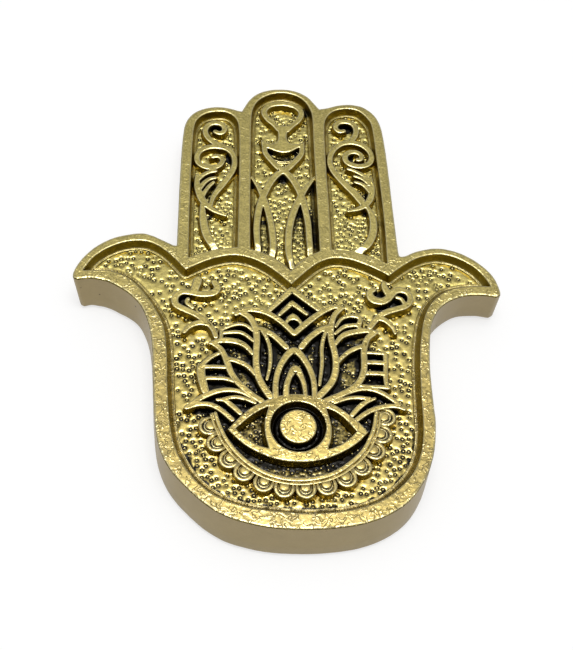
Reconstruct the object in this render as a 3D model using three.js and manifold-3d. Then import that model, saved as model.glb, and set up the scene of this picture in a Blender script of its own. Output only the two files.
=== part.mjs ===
// A hamsa incense holder: a hand-shaped casting that lies flat, with a raised rim round a sunken ground
// and an ornament in low relief. An incense stick stands in the small bore between chevron and lotus.
// Plan shapes are drawn in millimetres with +Y towards the fingertips, then fitted to the driving sizes.
import * as THREE from "three";
import { mergeVertices } from "three/addons/utils/BufferGeometryUtils.js";
import Module from "manifold-3d";

// Driving dimensions, in millimetres
const HAND_WIDTH = 120; // across the two thumb tips
const HAND_LENGTH = 144; // middle fingertip to the foot of the palm
const BODY_THICKNESS = 13.2; // the casting, underside to the top of its rim
const RECESS_DEPTH = 2.8; // top of the rim down to the sunken ground
const RELIEF_HEIGHT = 2.5; // ornament above the ground
const PUPIL_DIAMETER = 9.8;
const IRIS_DIAMETER = 14.9; // round recess that the pupil stands in
const STICK_BORE = 3.2; // takes the bamboo core of a stick
const STICK_BORE_DEPTH = 7; // below the ground
const CHEVRON_WIDTH = 1.1;
const CHEVRON_SLOPE_DEG = 43;
const CRESCENT_WIDTH = 1.6;
const CRESCENT_TIP_WIDTH = 1.1;
const SCALLOP_DIAMETER = 4.9;
const SCALLOP_LIP = 0.75; // flat edge outside a scallop's groove
const SCALLOP_GROOVE = 0.45; // width of the groove
const SCALLOP_GROOVE_DEPTH = 0.9;
const SCALLOP_COUNT = 13;
const FELT_THICKNESS = 0.8;
const CLEARANCE = 0.3; // between neighbouring pieces of the relief

// How finely curves are cut into straight steps
const SPLINE_STEPS = 3; // between two drawn points of an outline
const BAND_STEP = 1.15; // along a band, in millimetres
const ROUND_STEPS = 40; // round a full circle
const SAME_POINT = 1e-4; // points closer than this are one point

// Levels above the surface that the holder lies on
const UNDERSIDE = FELT_THICKNESS;
const RIM_TOP = UNDERSIDE + BODY_THICKNESS;
const GROUND = RIM_TOP - RECESS_DEPTH;

const wasm = await Module();
wasm.setup();

const antiqueGold = new THREE.MeshStandardMaterial({ color: 0xb8a052, roughness: 0.42, metalness: 0.8 });
const blackenedGold = new THREE.MeshStandardMaterial({ color: 0x9c8746, roughness: 0.5, metalness: 0.75 });
const castSide = new THREE.MeshStandardMaterial({ color: 0x9b8b72, roughness: 0.5, metalness: 0.4 });
const darkFelt = new THREE.MeshStandardMaterial({ color: 0x2b2724, roughness: 0.95, metalness: 0 });

const vector = ([x, y]) => new THREE.Vector2(x, y);

// An outline of smooth runs that meet at corners. Each run starts where the one before it ended.
function outline(start, ...runs) {
  const path = new THREE.Path();
  path.moveTo(...start);
  runs.forEach((run) => path.splineThru(run.map(vector)));
  return path.getPoints(SPLINE_STEPS);
}

function widthAlong(widths, share) {
  const place = share * (widths.length - 1);
  const before = Math.min(Math.floor(place), widths.length - 2);
  return THREE.MathUtils.lerp(widths[before], widths[before + 1], place - before);
}

// The outline of a band along a smooth line, its widths given at even shares of its length.
// grow widens and lengthens it, for the cut that keeps a neighbour clear of it.
function band(points, widths, grow = 0) {
  const line = new THREE.SplineCurve(points.map(vector));
  const steps = Math.max(3, Math.round(line.getLength() / drawn(BAND_STEP)));
  const left = [];
  const right = [];
  for (let step = 0; step <= steps; step++) {
    const share = step / steps;
    const along = line.getTangentAt(share);
    const reach = grow * (Number(step === steps) - Number(step === 0));
    const middle = line.getPointAt(share).addScaledVector(along, reach);
    const across = new THREE.Vector2(-along.y, along.x).multiplyScalar(widthAlong(widths, share) / 2 + grow);
    left.push(middle.clone().add(across));
    right.unshift(middle.clone().sub(across));
  }
  return [...left, ...right];
}

// Part of a circle as points, from one angle to another in degrees.
function arc({ x, y }, radius, from, to) {
  const count = Math.max(3, Math.round((ROUND_STEPS * Math.abs(to - from)) / 360));
  return Array.from({ length: count + 1 }, (_, i) => {
    const angle = THREE.MathUtils.degToRad(THREE.MathUtils.lerp(from, to, i / count));
    return [x + radius * Math.cos(angle), y + radius * Math.sin(angle)];
  });
}

const disc = (centre, radius) => arc(centre, radius, 0, 360).slice(0, -1).map(vector);

// The hand as drawn, clockwise from the valley between the left and middle fingers
const HAND = outline(
  [-13, 63.2],
  [[-12.3, 64.7], [-10.8, 67.5], [-8.3, 70.1], [-4.8, 71.6], [-0.8, 72.1], [3.2, 71.5], [6.6, 69.6],
    [8.8, 66.9], [10.2, 65]],
  [[12.5, 65.5], [16, 66.7], [19.8, 67.1], [23.4, 66.3], [26.4, 63.8], [28.2, 60.2], [29.1, 55], [29.9, 45],
    [30.8, 28], [31.6, 14.5], [32.1, 12.7]],
  [[33.4, 12.8], [37, 14.6], [42.3, 15.8], [47, 15.2], [51.6, 13.2], [55.7, 10], [58.6, 6.2], [60, 1.6],
    [59.6, 0.3], [58.6, -0.2]],
  [[54.1, 0.3], [48.3, -0.5], [43.3, -3.5], [40.5, -7.7], [39.2, -13], [38.5, -24], [38.8, -35], [39, -41],
    [38, -49.5], [35.6, -56.5], [31.5, -62.8], [26, -67.2], [19, -70.2], [11, -71.7], [3, -72.2], [-5, -71.9],
    [-11, -70.8], [-17, -68.9], [-22.5, -65.5], [-27.5, -60.8], [-31.3, -56.4], [-33.8, -51.9], [-35.4, -46.5],
    [-36.3, -38.5], [-36.9, -28], [-37.5, -18], [-38.7, -11.3], [-41, -5.9], [-43.9, -2.5], [-47.3, 0],
    [-50.6, 1.7], [-55.1, 2.5], [-58.6, 2]],
  [[-59.7, 2.4], [-60, 3.6], [-59.3, 6], [-57.3, 9.5], [-53.8, 13.3], [-49, 16.3], [-42.6, 18], [-39, 17.6],
    [-35, 15.7], [-32.3, 14.3], [-31.4, 14.4]],
  [[-31.2, 28], [-30.9, 42], [-30.4, 53], [-29.6, 58.3], [-27.4, 61.8], [-24.2, 63.7], [-20.4, 64.5],
    [-16.6, 64.1], [-14, 63.3], [-13, 63.2]],
);

// The sunken fields inside the rim
const LEFT_FINGER_FIELD = outline(
  [-14.3, 14.3],
  [[-14, 30], [-13.8, 48], [-14.1, 57.5], [-15.3, 60.8], [-17.6, 62.4], [-20.2, 62.6], [-23.3, 61.9],
    [-25.9, 59.9], [-27.2, 56], [-27.7, 45], [-28, 26], [-28, 10.4]],
  [[-25, 11.8], [-21, 13.2], [-17.5, 14], [-14.3, 14.3]],
);
const MIDDLE_FINGER_FIELD = outline(
  [-10.6, 13.9],
  [[-10.6, 30], [-10.4, 48], [-10.2, 60], [-9.4, 65], [-7.4, 68], [-4.3, 69.9], [-0.9, 70.6], [2.5, 70],
    [5.3, 68.2], [7.1, 65.4], [8, 61.5], [8.2, 50], [8.6, 35], [9.1, 13.8]],
  [[6, 12], [3.2, 9.6], [0.8, 6.9]],
  [[-2, 9.6], [-5.5, 12], [-10.6, 13.9]],
);
const RIGHT_FINGER_FIELD = outline(
  [12.6, 14.5],
  [[12.2, 30], [11.7, 45], [11.6, 57], [12.2, 61.4], [14.2, 64], [17, 65.1], [19.5, 65.3], [22.2, 64.5],
    [24.5, 62], [25.8, 58.8], [26.6, 49], [27.3, 38], [28, 24], [28.2, 10.2]],
  [[25, 11.8], [21, 13.3], [17, 14.2], [12.6, 14.5]],
);
const PALM_FIELD = outline(
  [0.9, 2.2],
  [[4.5, 6], [8, 9.2], [11.5, 11], [15, 11.4], [19, 10.6], [24, 8.5], [28.6, 5.9]],
  [[32.3, 9.1], [36.5, 11.9], [40.5, 13.3], [44.2, 13.6], [48.5, 12.4], [52.6, 9.9], [55.6, 6.6], [57.3, 3.4]],
  [[53, 3.4], [48, 2.6], [44.5, 1.3], [41.6, -0.9], [39.2, -4.2], [37.6, -8.3], [36.5, -14], [35.8, -21],
    [35.5, -32], [35.5, -42], [34.6, -49], [32.4, -54.8], [28.5, -59.7], [23, -63.8], [15.5, -66.4], [6, -67.6],
    [-4, -67.2], [-12.5, -65.9], [-20, -62.9], [-25.8, -57.8], [-29.8, -51], [-31.8, -43.5], [-32.8, -33],
    [-33.3, -21], [-34.4, -12.5], [-37, -6.6], [-40.2, -1.7], [-44, 2.5], [-48.5, 4.9], [-53, 5.3],
    [-57.3, 5.1]],
  [[-54.6, 9.3], [-51, 12.4], [-46.6, 14.6], [-42.3, 15.4], [-38.4, 14.8], [-34.6, 12.4], [-31.5, 9.3],
    [-28.8, 6.1]],
  [[-24, 8.8], [-19.5, 10.6], [-15, 11.4], [-11, 10.7], [-7, 8.9], [-3, 5.9], [0.9, 2.2]],
);

// The felt is cut plainer than the hand and stops short of the thumb tips
const FELT = outline(
  [-27, 12],
  [[-27, 52], [-24, 59], [-14, 60], [-7, 67], [5, 67], [12, 61], [23, 62], [26, 52], [27.5, 10]],
  [[38, 10], [48, 9], [52, 5], [44, 2.5], [36, -6], [34.5, -20], [34.5, -42], [30, -57], [18, -65.5], [2, -68],
    [-14, -65.5], [-27, -56], [-32, -42], [-32.8, -20], [-36, -6], [-45, 4.5], [-52, 7], [-48, 11], [-38, 12],
    [-27, 12]],
);

// From the drawing to the model: the hand's box is centred on the origin and given its driving sizes
const drawnBox = new THREE.Box2().setFromPoints(HAND);
const drawnSize = drawnBox.getSize(new THREE.Vector2());
const drawnCentre = drawnBox.getCenter(new THREE.Vector2());
const fitScale = new THREE.Vector2(HAND_WIDTH, HAND_LENGTH).divide(drawnSize);
const fitted = (points) => points.map((point) => point.clone().sub(drawnCentre).multiply(fitScale));

// A real length in the drawing's own units
const drawn = (length) => length / Math.sqrt(fitScale.x * fitScale.y);

// A closed solid from an outline, standing on a level
function prism(points, level, height) {
  const geometry = new THREE.ExtrudeGeometry(new THREE.Shape(points), { depth: height, bevelEnabled: false });
  geometry.translate(0, 0, level);
  geometry.deleteAttribute("normal");
  geometry.deleteAttribute("uv");
  const merged = mergeVertices(geometry, SAME_POINT);
  const vertProperties = merged.attributes.position.array;
  const triVerts = new Uint32Array(merged.index.array);
  return new wasm.Manifold(new wasm.Mesh({ numProp: 3, vertProperties, triVerts }));
}

const plate = (points, level, height) => prism(fitted(points), level, height);
const joined = (solids) => solids.reduce((whole, solid) => whole.add(solid));

// A bore or a disc keeps its diameter whatever the hand's size: only its place is fitted
function column(centre, diameter, level, height) {
  const [place] = fitted([centre]);
  return prism(disc(place, diameter / 2), level, height);
}

const holder = new THREE.Group();

function addPart(name, solid, material) {
  const { vertProperties, triVerts } = solid.getMesh();
  const geometry = new THREE.BufferGeometry();
  geometry.setAttribute("position", new THREE.BufferAttribute(new Float32Array(vertProperties), 3));
  geometry.setIndex(new THREE.BufferAttribute(new Uint32Array(triVerts), 1));
  geometry.computeVertexNormals();
  const mesh = new THREE.Mesh(geometry, material.clone());
  mesh.name = name;
  holder.add(mesh);
}

// Ornament made of bands. Each is a function of the growth, so that neighbours can be cut clear of it.
const relief = (bands) => (grow = 0) =>
  joined(bands.map(([points, widths]) => plate(band(points, widths, drawn(grow)), GROUND, RELIEF_HEIGHT)));

function addRelief(name, shape, ...neighbours) {
  const cut = neighbours.reduce((solid, other) => solid.subtract(other(CLEARANCE)), shape());
  addPart(name, cut, antiqueGold);
}

// Left finger: a small and a large spiral on one stem, a comb of leaves, a sickle and a lower stem
const leftFingerScroll = relief([
  [[[-20.9, 55.8], [-19.9, 55.3], [-18.7, 55.6], [-18.1, 56.9], [-18.9, 58.5], [-20.8, 59.1], [-22.7, 58.4],
    [-23.8, 56.6], [-23.6, 54.5], [-22.3, 52.6], [-20.4, 51.4], [-18.6, 50.5]], [0.9, 1.3, 1.4, 1.4]],
  [[[-22, 46.9], [-20.5, 47.1], [-19.1, 46.4], [-18.7, 45], [-19.6, 43.4], [-21.6, 42.5], [-24, 42.8],
    [-25.8, 44.3], [-26.2, 46.4], [-25.3, 48.4], [-23.2, 49.8], [-20.5, 50.2], [-17.8, 49.7], [-15.9, 48.1],
    [-15.1, 45.6], [-15.4, 42.6], [-17, 39.2], [-19.6, 35], [-21.3, 31.9], [-22, 28.8]],
  [1, 1.4, 1.4, 1.3, 1.3, 1.6, 0.6]],
  [[[-20.9, 41.7], [-22.6, 41.1], [-24.3, 39.9], [-25.8, 38]], [1, 1.1, 0.9]],
  [[[-20.4, 39.6], [-22.2, 38.6], [-23.8, 37.4], [-25.3, 35.2]], [0.5, 1.1, 1]],
  [[[-21.3, 37.6], [-22.8, 36], [-23.9, 34], [-24.7, 31.9]], [0.5, 1.1, 1]],
  [[[-20.9, 35.9], [-22, 33.9], [-22.6, 31.8], [-22.9, 29.4]], [0.4, 1.1, 1]],
  [[[-26, 39.5], [-26, 36.5], [-25.4, 33.4], [-24.3, 30.7], [-22.6, 28.5], [-20.4, 26.8], [-17.9, 25.6]],
    [1, 1.7, 1.9, 1.2, 0.4]],
  [[[-24.4, 29.2], [-24.3, 25.4], [-23.8, 21], [-22.8, 17.8], [-21.5, 15.6], [-20.6, 14.4]], [1, 2, 2.3, 1.7]],
]);
addRelief("left_finger_scroll", leftFingerScroll);

// Right finger: the same plant, facing the other way
const rightFingerScroll = relief([
  [[[17.5, 57.6], [16.3, 57.4], [15.2, 58.2], [15.1, 59.6], [16.2, 60.9], [18.1, 61.2], [19.9, 60.6],
    [21, 59], [21.1, 57], [20.3, 55.1], [18.9, 53.6]], [0.9, 1.3, 1.4, 1.4]],
  [[[21.3, 47.2], [22.3, 47.3], [22.3, 48.9], [21, 49.8], [19.3, 49.8], [17.9, 48.9], [17.5, 47.3],
    [18.3, 45.8], [20, 44.9], [22, 44.7], [24, 45.3], [25.2, 46.8], [25.4, 48.8], [24.5, 50.9], [22.7, 52.5],
    [20.4, 53.4], [18.1, 53.3], [15.9, 52.2], [14.1, 50.3], [13.1, 47.9], [13, 45.3], [13.8, 42.9],
    [15.2, 40.6], [17, 38.2], [19.6, 34.9], [22, 31.5]], [0.8, 1.2, 1.2, 1.3, 1.3, 1.3, 1.6, 1.4]],
  [[[14.2, 43.3], [17, 43.5], [19.5, 42.7], [21.9, 41.5], [23.7, 40], [24.7, 38.4]], [0.8, 1, 1]],
  [[[16, 40.4], [18.6, 40.3], [20.8, 39.4], [22.9, 38.2], [24.5, 36.4]], [0.8, 1, 1]],
  [[[17.4, 38.4], [18.8, 38.1], [20.6, 37], [22.4, 35.8], [24.1, 33.9]], [0.8, 0.9, 0.9]],
  [[[24.6, 39.4], [24.9, 37], [24.7, 34.3], [23.9, 32], [22.4, 30.2], [20.3, 29], [17.6, 28.3]],
    [1, 1.6, 1.8, 1.3, 0.4]],
  [[[23.4, 30.4], [24.5, 27.4], [24.8, 24], [24.4, 20.5], [23.3, 17.7], [21.9, 15.9], [20.9, 15]],
    [0.9, 1.8, 2.3, 2.2, 1.7]],
]);
addRelief("right_finger_scroll", rightFingerScroll);

// Middle finger: a drop-shaped loop on a neck, a cup with a crescent cut, and two pairs of crossing leaves
const middleFingerMotif = relief([
  [[[-1.5, 56.4], [-3.1, 59], [-5.5, 61.4], [-6.4, 63.6], [-5, 65.8], [-2.6, 66.7], [0.4, 66.7], [3.2, 65.8],
    [4.8, 63.9], [4.2, 61.7], [1.9, 59.2], [0.1, 56.3]], [0.9, 1.5, 1.4, 1.4, 1.4, 1.5, 0.9]],
  [[[-0.8, 58.2], [-0.8, 55.2], [-0.8, 52.4], [-0.8, 49.9]], [2.1, 2.3, 3.4, 5.6]],
  [[[-7.3, 53.1], [-6.7, 50.9], [-4.6, 49.9], [-0.8, 49.4], [3, 50], [4.9, 51.1], [5.4, 53.3]],
    [0.5, 1.9, 1.9, 0.5]],
  [[[-5.2, 46.9], [-3.2, 46.2], [-0.8, 45.9], [1.6, 46.2], [3.7, 47]], [0.8, 0.9]],
  [[[-6.2, 50.4], [-6.1, 48.3], [-4.8, 46.1], [-2.9, 43.6], [-0.6, 41], [1.4, 38.2], [3.1, 35.2], [4.3, 32],
    [5.2, 28.6], [5.9, 24.8], [6.5, 20], [6.7, 13.8]], [1.5, 1.6, 1.6, 1.6, 1.7, 1.5]],
  [[[4.4, 50.6], [4.4, 48.3], [3.1, 46.1], [1.2, 43.6], [-1.4, 41], [-3.6, 38.8], [-5.5, 36.2], [-7, 32.6],
    [-8, 29], [-8.5, 25], [-8.8, 20.5], [-8.4, 14.6]], [1.5, 1.6, 1.6, 1.7, 1.9, 1.6]],
  [[[-9.5, 37.4], [-8.5, 35.3], [-7.3, 32.5], [-6.2, 29.5], [-5.1, 25.6], [-4.3, 21.5], [-4, 17], [-4.3, 12.2]],
    [0.4, 1.5, 1.6, 1.7, 1.5]],
  [[[7.6, 37.4], [5.6, 34.4], [4, 31.3], [2.7, 28.3], [1.5, 24.9], [0.7, 20.5], [0.6, 15], [1.1, 9.4]],
    [0.5, 1.6, 1.7, 1.7, 1.4]],
]);
addRelief("middle_finger_motif", middleFingerMotif);

// Palm scrolls either side of the chevrons: a bowl that turns into a hook, a prong, a curl and a forked tail
const leftPalmScroll = relief([
  [[[-20.8, 2.7], [-19.9, 1.9], [-19.7, 0.4], [-20.6, -1.1], [-22.4, -1.8], [-25, -1.8], [-27.6, -1.2],
    [-29.6, -1.3], [-31.1, -2.5], [-31.5, -4.2], [-30.4, -6], [-27.9, -7.7], [-25, -9.3], [-22.6, -10.9],
    [-21.2, -12.6], [-20.3, -14.6]], [0.8, 1.4, 1.5, 1.7, 1.6, 1.5, 1]],
  [[[-25, 4], [-25.7, 2.8], [-26.2, 1.2], [-26.3, -1.2]], [0.9, 1.9, 2]],
  [[[-26.8, -7.6], [-27.8, -5.8], [-28.6, -4.4], [-28.1, -3.3]], [0.9, 0.9]],
  [[[-22.6, -11.4], [-24.4, -11], [-26.4, -11.5], [-28, -12.9], [-29, -14.9]], [1.3, 1.3, 0.5]],
]);
const rightPalmScroll = relief([
  [[[23.8, 2.1], [23, 0.9], [23, -0.7], [24.2, -2.1], [26.1, -2.6], [27.8, -2], [28.8, -0.6], [30, 0.9],
    [31.7, 1.4], [33.4, 0.8], [34.3, -0.8], [34, -2.8], [32.2, -4.4], [29.4, -5.6], [26.6, -6.8], [24.4, -8.3],
    [22.9, -10.2]], [0.9, 2, 1.8, 1.4, 1.6, 1.5, 1.1]],
  [[[26.4, 4.2], [26.7, 2.9], [27.3, 1.2], [28, -0.8]], [0.9, 1.7, 1.8]],
  [[[32.6, -4.2], [32.1, -2.6], [31.4, -1.4], [30.4, -0.8]], [0.9, 0.9]],
  [[[24.9, -8.2], [26.5, -8.7], [27.9, -9.9], [28.8, -11.3], [29.3, -12.9]], [1.3, 1.3, 0.5]],
]);

// The eye: an almond with a round iris recess and a window in each corner, and a loose disc for the pupil
const EYE_ALMOND = outline(
  [-16.8, -43.7],
  [[-12, -38.3], [-8, -35.4], [-4, -33.4], [0, -32.5], [3.4, -32.5], [7.2, -33.2], [11, -35], [15, -37.8],
    [18.5, -41], [20.7, -43.7]],
  [[18, -46.7], [14.6, -49.2], [10.6, -51.2], [6.4, -52.4], [2, -52.8], [-3, -52.3], [-8, -50.6],
    [-12.6, -47.9], [-16.8, -43.7]],
);
const LEFT_EYE_WINDOW = outline(
  [-14.6, -43.4],
  [[-12, -40.9], [-9, -38.4], [-5.8, -36.5]],
  [[-6.9, -41], [-6.8, -45], [-5.9, -48.9]],
  [[-9, -48], [-12, -46], [-14.6, -43.4]],
);
const RIGHT_EYE_WINDOW = outline(
  [17.6, -43.6],
  [[15, -46.2], [12.5, -47.9], [9.8, -48.9]],
  [[10.7, -46], [10.9, -42], [9.7, -36.7]],
  [[12.4, -38], [15, -40.3], [17.6, -43.6]],
);
const EYE_CENTRE = vector([2.05, -42.35]);
const almondBox = new THREE.Box2().setFromPoints(EYE_ALMOND);
const almondMiddle = almondBox.getCenter(new THREE.Vector2());
const almondHalf = almondBox.getSize(new THREE.Vector2()).multiplyScalar(0.5);
const eyeBlank = (grow = 0) => {
  const stretch = almondHalf.clone().addScalar(drawn(grow)).divide(almondHalf);
  const edge = EYE_ALMOND.map((point) => point.clone().sub(almondMiddle).multiply(stretch).add(almondMiddle));
  return plate(edge, GROUND, RELIEF_HEIGHT);
};
const eyeOpenings = [
  plate(LEFT_EYE_WINDOW, GROUND, RELIEF_HEIGHT),
  plate(RIGHT_EYE_WINDOW, GROUND, RELIEF_HEIGHT),
  column(EYE_CENTRE, IRIS_DIAMETER, GROUND, RELIEF_HEIGHT),
];
addPart("eye_frame", eyeBlank().subtract(joined(eyeOpenings)), antiqueGold);
addPart("pupil", column(EYE_CENTRE, PUPIL_DIAMETER, GROUND, RELIEF_HEIGHT), antiqueGold);

// Lotus: a left and a right petal that meet under the bore, a centre petal with a bud, and leaves outside
const leftPetal = relief([
  [[[1.1, -13.7], [-0.4, -12], [-2.4, -9.9], [-4.8, -8.1], [-7.6, -7], [-10.6, -6.8], [-13.4, -7.3]],
    [1.3, 1.4, 1.4, 1.2, 0.6]],
  [[[-12.6, -7.2], [-10.9, -8.5], [-9.8, -10.4], [-9.1, -13], [-9, -16], [-9.2, -20], [-9.2, -23.5],
    [-8.6, -27], [-7.4, -30], [-6, -32.3]], [0.9, 1.5, 1.6, 1.6, 1.7]],
  [[[-9, -12.4], [-7.2, -12.8], [-4.6, -14.3], [-2.4, -16.4], [-0.6, -18.3]], [1.3, 1.4, 1.3]],
  [[[-7.3, -13.2], [-6.1, -15.4], [-5.4, -18], [-5.2, -21], [-5.4, -24.3], [-6.1, -28]], [0.7, 0.9, 0.9, 0.6]],
]);
const rightPetal = relief([
  [[[1.5, -13.9], [3.2, -11.9], [5.4, -9.4], [7.9, -7.3], [10.6, -5.7], [13.2, -4.9], [15, -5]],
    [1.3, 1.4, 1.4, 1.2, 0.6]],
  [[[14.4, -5.2], [12.9, -7], [12, -9.4], [11.6, -12.4], [11.6, -15.6], [12.3, -19], [12.6, -22.4],
    [12.2, -26], [10.9, -29.3], [8.6, -32.2]], [0.9, 1.5, 1.6, 1.7, 1.7]],
  [[[11.6, -11], [9, -12.3], [6.6, -14.3], [4.6, -16.3], [3, -18.2]], [1.4, 1.5, 1.4]],
  [[[9.9, -12.2], [9, -15.4], [8.7, -18.5], [8.7, -22], [8.3, -25.4], [7.9, -28.9]], [0.7, 0.9, 0.9, 0.6]],
]);
const centrePetal = relief([
  [[[-3.6, -32.6], [-3.9, -30], [-3.6, -27], [-2.6, -24], [-1.1, -21.4], [1.7, -18.9]], [1.4, 1.4]],
  [[[6.5, -32.4], [6.6, -29.6], [6.1, -26.8], [5.2, -24.2], [3.9, -21.7], [1.1, -18.9]], [1.3, 1.4]],
]);
const centreBud = relief([
  [[[-1.3, -32], [-1.2, -29.8], [-0.6, -27.6], [0.3, -25.6], [1.8, -23.9]], [1, 1.2]],
  [[[4.1, -32], [4, -29.6], [3.4, -27.4], [2.6, -25.5], [1.2, -23.9]], [0.9, 1.2]],
]);
const leftLeaf = relief([
  [[[-21.2, -17], [-18.4, -16.5], [-15.6, -16.5], [-13.2, -17.2], [-11.5, -18.5], [-10.5, -20]],
    [0.7, 1.4, 1.4, 0.7]],
  [[[-20.3, -17.2], [-18.9, -18.6], [-17.9, -20.6], [-17.1, -23], [-16.3, -25.6], [-14.8, -28.4],
    [-12.6, -31], [-10.4, -33], [-8.7, -34.2]], [1, 1.5, 1.5, 1.4]],
  [[[-17, -22.3], [-14.6, -22.9], [-12.4, -23.7], [-10.9, -24.8], [-10, -25.8]], [1.2, 1.3, 0.9]],
  [[[-18.4, -13], [-16, -12], [-13.6, -11.4], [-11.8, -11.8], [-10.7, -12.9]], [0.7, 1, 0.7]],
  [[[-18.4, -13.4], [-16, -13.8], [-13.8, -13.9], [-12, -14.6], [-10.8, -15.9]], [0.7, 1, 0.7]],
  [[[-18.4, -12.8], [-18.3, -14.6], [-18.5, -16.6]], [0.7, 0.8]],
]);
const rightLeaf = relief([
  [[[13.2, -16], [14.5, -14.4], [16.7, -13.3], [19.2, -12.7], [21.6, -12.5], [23.8, -12.5]],
    [0.8, 1.4, 1.4, 0.7]],
  [[[23, -12.8], [21.6, -14.2], [20.7, -16.4], [20.3, -19], [20.3, -22], [20, -25.2], [18.8, -28.2],
    [16.4, -30.8], [13.4, -32.5], [10.8, -33.6]], [1, 1.5, 1.5, 1.5, 1.3]],
  [[[20.4, -16.9], [18.2, -18], [16.1, -19.3], [14.4, -20.8], [13.7, -21.7]], [1.2, 1.2, 0.8]],
  [[[13.6, -10], [14.8, -8.3], [17, -7.7], [19, -8], [19.6, -9.1], [18.9, -10.5]], [0.6, 1, 0.9]],
  [[[13.4, -12], [15.2, -11], [17.4, -10.6], [19.4, -10.4]], [0.7, 1.1, 0.9]],
  [[[19, -10.4], [19.4, -11.6], [19.4, -12.9]], [0.8, 0.8]],
]);
const leftLadder = relief([
  [[[-23.6, -24.6], [-23.8, -26.4], [-23.6, -28.4], [-23.2, -30.4], [-22.7, -31.8]], [1.7, 1.7]],
  [[[-23.6, -24.6], [-21.8, -22.6], [-20, -21.1], [-18.6, -20.2]], [0.8, 0.8]],
  [[[-23.6, -25.1], [-20.2, -24.9], [-17.2, -25.1]], [1, 0.9]],
  [[[-23.5, -28.4], [-20, -28.3], [-17.6, -28.4], [-15.4, -29.4]], [1, 0.9]],
  [[[-23, -31.4], [-19.6, -31.2], [-16, -31], [-13.6, -31.3]], [1, 0.7]],
]);
const rightLadder = relief([
  [[[26.4, -19.4], [26.5, -22], [26.3, -25], [26.3, -27.6], [26.6, -29.6]], [1.1, 1.1]],
  [[[20.8, -19.2], [23.6, -19.3], [26.4, -19.5]], [0.9, 0.9]],
  [[[20.6, -22.2], [23.4, -22.3], [26.4, -22.4]], [0.9, 0.9]],
  [[[20.4, -25.4], [23.4, -25.4], [26.4, -25.6]], [0.9, 0.9]],
  [[[18.6, -29.1], [21.6, -29.5], [24.4, -29.5], [26.8, -29.7]], [0.7, 1]],
]);
const leftWing = relief([
  [[[-9.6, -34.7], [-13.4, -32.9], [-17, -32.2], [-20.4, -32.9], [-23.4, -34.3], [-25.8, -35.9],
    [-27.8, -37.3]], [0.8, 1, 1.4, 1]],
  [[[-27.4, -37.2], [-24.4, -36.7], [-21.6, -37.1], [-19.4, -38.1], [-17.4, -39.5], [-15.8, -41]],
    [0.9, 1.2, 1.1]],
  [[[-19.4, -34.9], [-17.2, -35.2], [-15.6, -36.6], [-14.2, -38.2]], [0.7, 1.2, 1]],
  [[[-17.4, -34.9], [-14.6, -34.2], [-12.2, -34.5], [-10, -35.3]], [0.9, 1, 0.7]],
  [[[-10.6, -35.2], [-10.4, -34]], [0.9, 0.9]],
]);
const rightWing = relief([
  [[[11.8, -34.3], [14.8, -32.5], [18, -31.2], [20.8, -30.7], [23.6, -31], [26.2, -32.3], [28.6, -34.2],
    [30.8, -36.3]], [0.8, 1, 1.1, 0.8]],
  [[[30.6, -36.3], [28.6, -35.7], [25.8, -35.8], [23, -36.5], [20.5, -37.7], [18.5, -39.3]], [0.9, 1.2, 1.1]],
  [[[22.6, -33.5], [20.6, -34.4], [18.7, -35.9], [17.1, -37.7]], [0.7, 1.2, 1]],
  [[[21.4, -33.6], [18.6, -33.3], [15.6, -33.6], [12.6, -34.6]], [0.9, 1, 0.7]],
  [[[13, -34.6], [12.4, -33.6]], [0.9, 0.9]],
]);
addRelief("lotus_left_petal", leftPetal, eyeBlank);
addRelief("lotus_right_petal", rightPetal, eyeBlank, leftPetal);
addRelief("lotus_centre_petal", centrePetal, eyeBlank, leftPetal, rightPetal);
addRelief("lotus_centre_bud", centreBud, eyeBlank);
addRelief("lotus_left_leaf", leftLeaf, eyeBlank, leftPetal);
addRelief("lotus_right_leaf", rightLeaf, eyeBlank, rightPetal);
addRelief("lotus_left_ladder", leftLadder, leftLeaf);
addRelief("lotus_right_ladder", rightLadder, rightLeaf);
addRelief("lotus_left_wing", leftWing, eyeBlank, leftLeaf, leftLadder);
addRelief("lotus_right_wing", rightWing, eyeBlank, rightLeaf, rightLadder);
addRelief("left_palm_scroll", leftPalmScroll, leftLeaf);
addRelief("right_palm_scroll", rightPalmScroll, rightLeaf);

// Three nested chevrons over the stick bore, each drawn by its apex and half-span; the petals cut their feet
const CHEVRONS = [
  ["chevron_outer", [0.95, 0.7], 6.8],
  ["chevron_middle", [0.95, -2.9], 5.3],
  ["chevron_inner", [0.95, -6.5], 3.4],
];
const chevronSlope = THREE.MathUtils.degToRad(CHEVRON_SLOPE_DEG);
const chevronThickness = drawn(CHEVRON_WIDTH) / Math.cos(chevronSlope);
CHEVRONS.forEach(([name, [x, top], reach]) => {
  const foot = top - reach * Math.tan(chevronSlope);
  const upper = [[x - reach, foot], [x, top], [x + reach, foot]];
  const lower = upper.map(([side, height]) => [side, height - chevronThickness]).reverse();
  const shape = () => plate([...upper, ...lower].map(vector), GROUND, RELIEF_HEIGHT);
  addRelief(name, shape, leftPetal, rightPetal);
});

// Crescent band under the eye and its row of scallops, evenly spaced along it
const CRESCENT = [[-20.4, -39], [-19.4, -42.2], [-17.6, -46.4], [-15, -50.2], [-11.6, -53.6], [-7.4, -56.3],
  [-2.6, -57.9], [2.2, -58.3], [7, -57.7], [11.8, -56], [16, -53], [19.4, -49.4], [21.6, -45.3], [22.8, -41.8],
  [23.3, -38.8]];
const bandWidth = drawn(CRESCENT_WIDTH);
const tipWidth = drawn(CRESCENT_TIP_WIDTH);
const crescent = relief([[CRESCENT, [tipWidth, bandWidth, bandWidth, bandWidth, tipWidth]]]);
addRelief("crescent_band", crescent, leftWing, rightWing);

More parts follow.
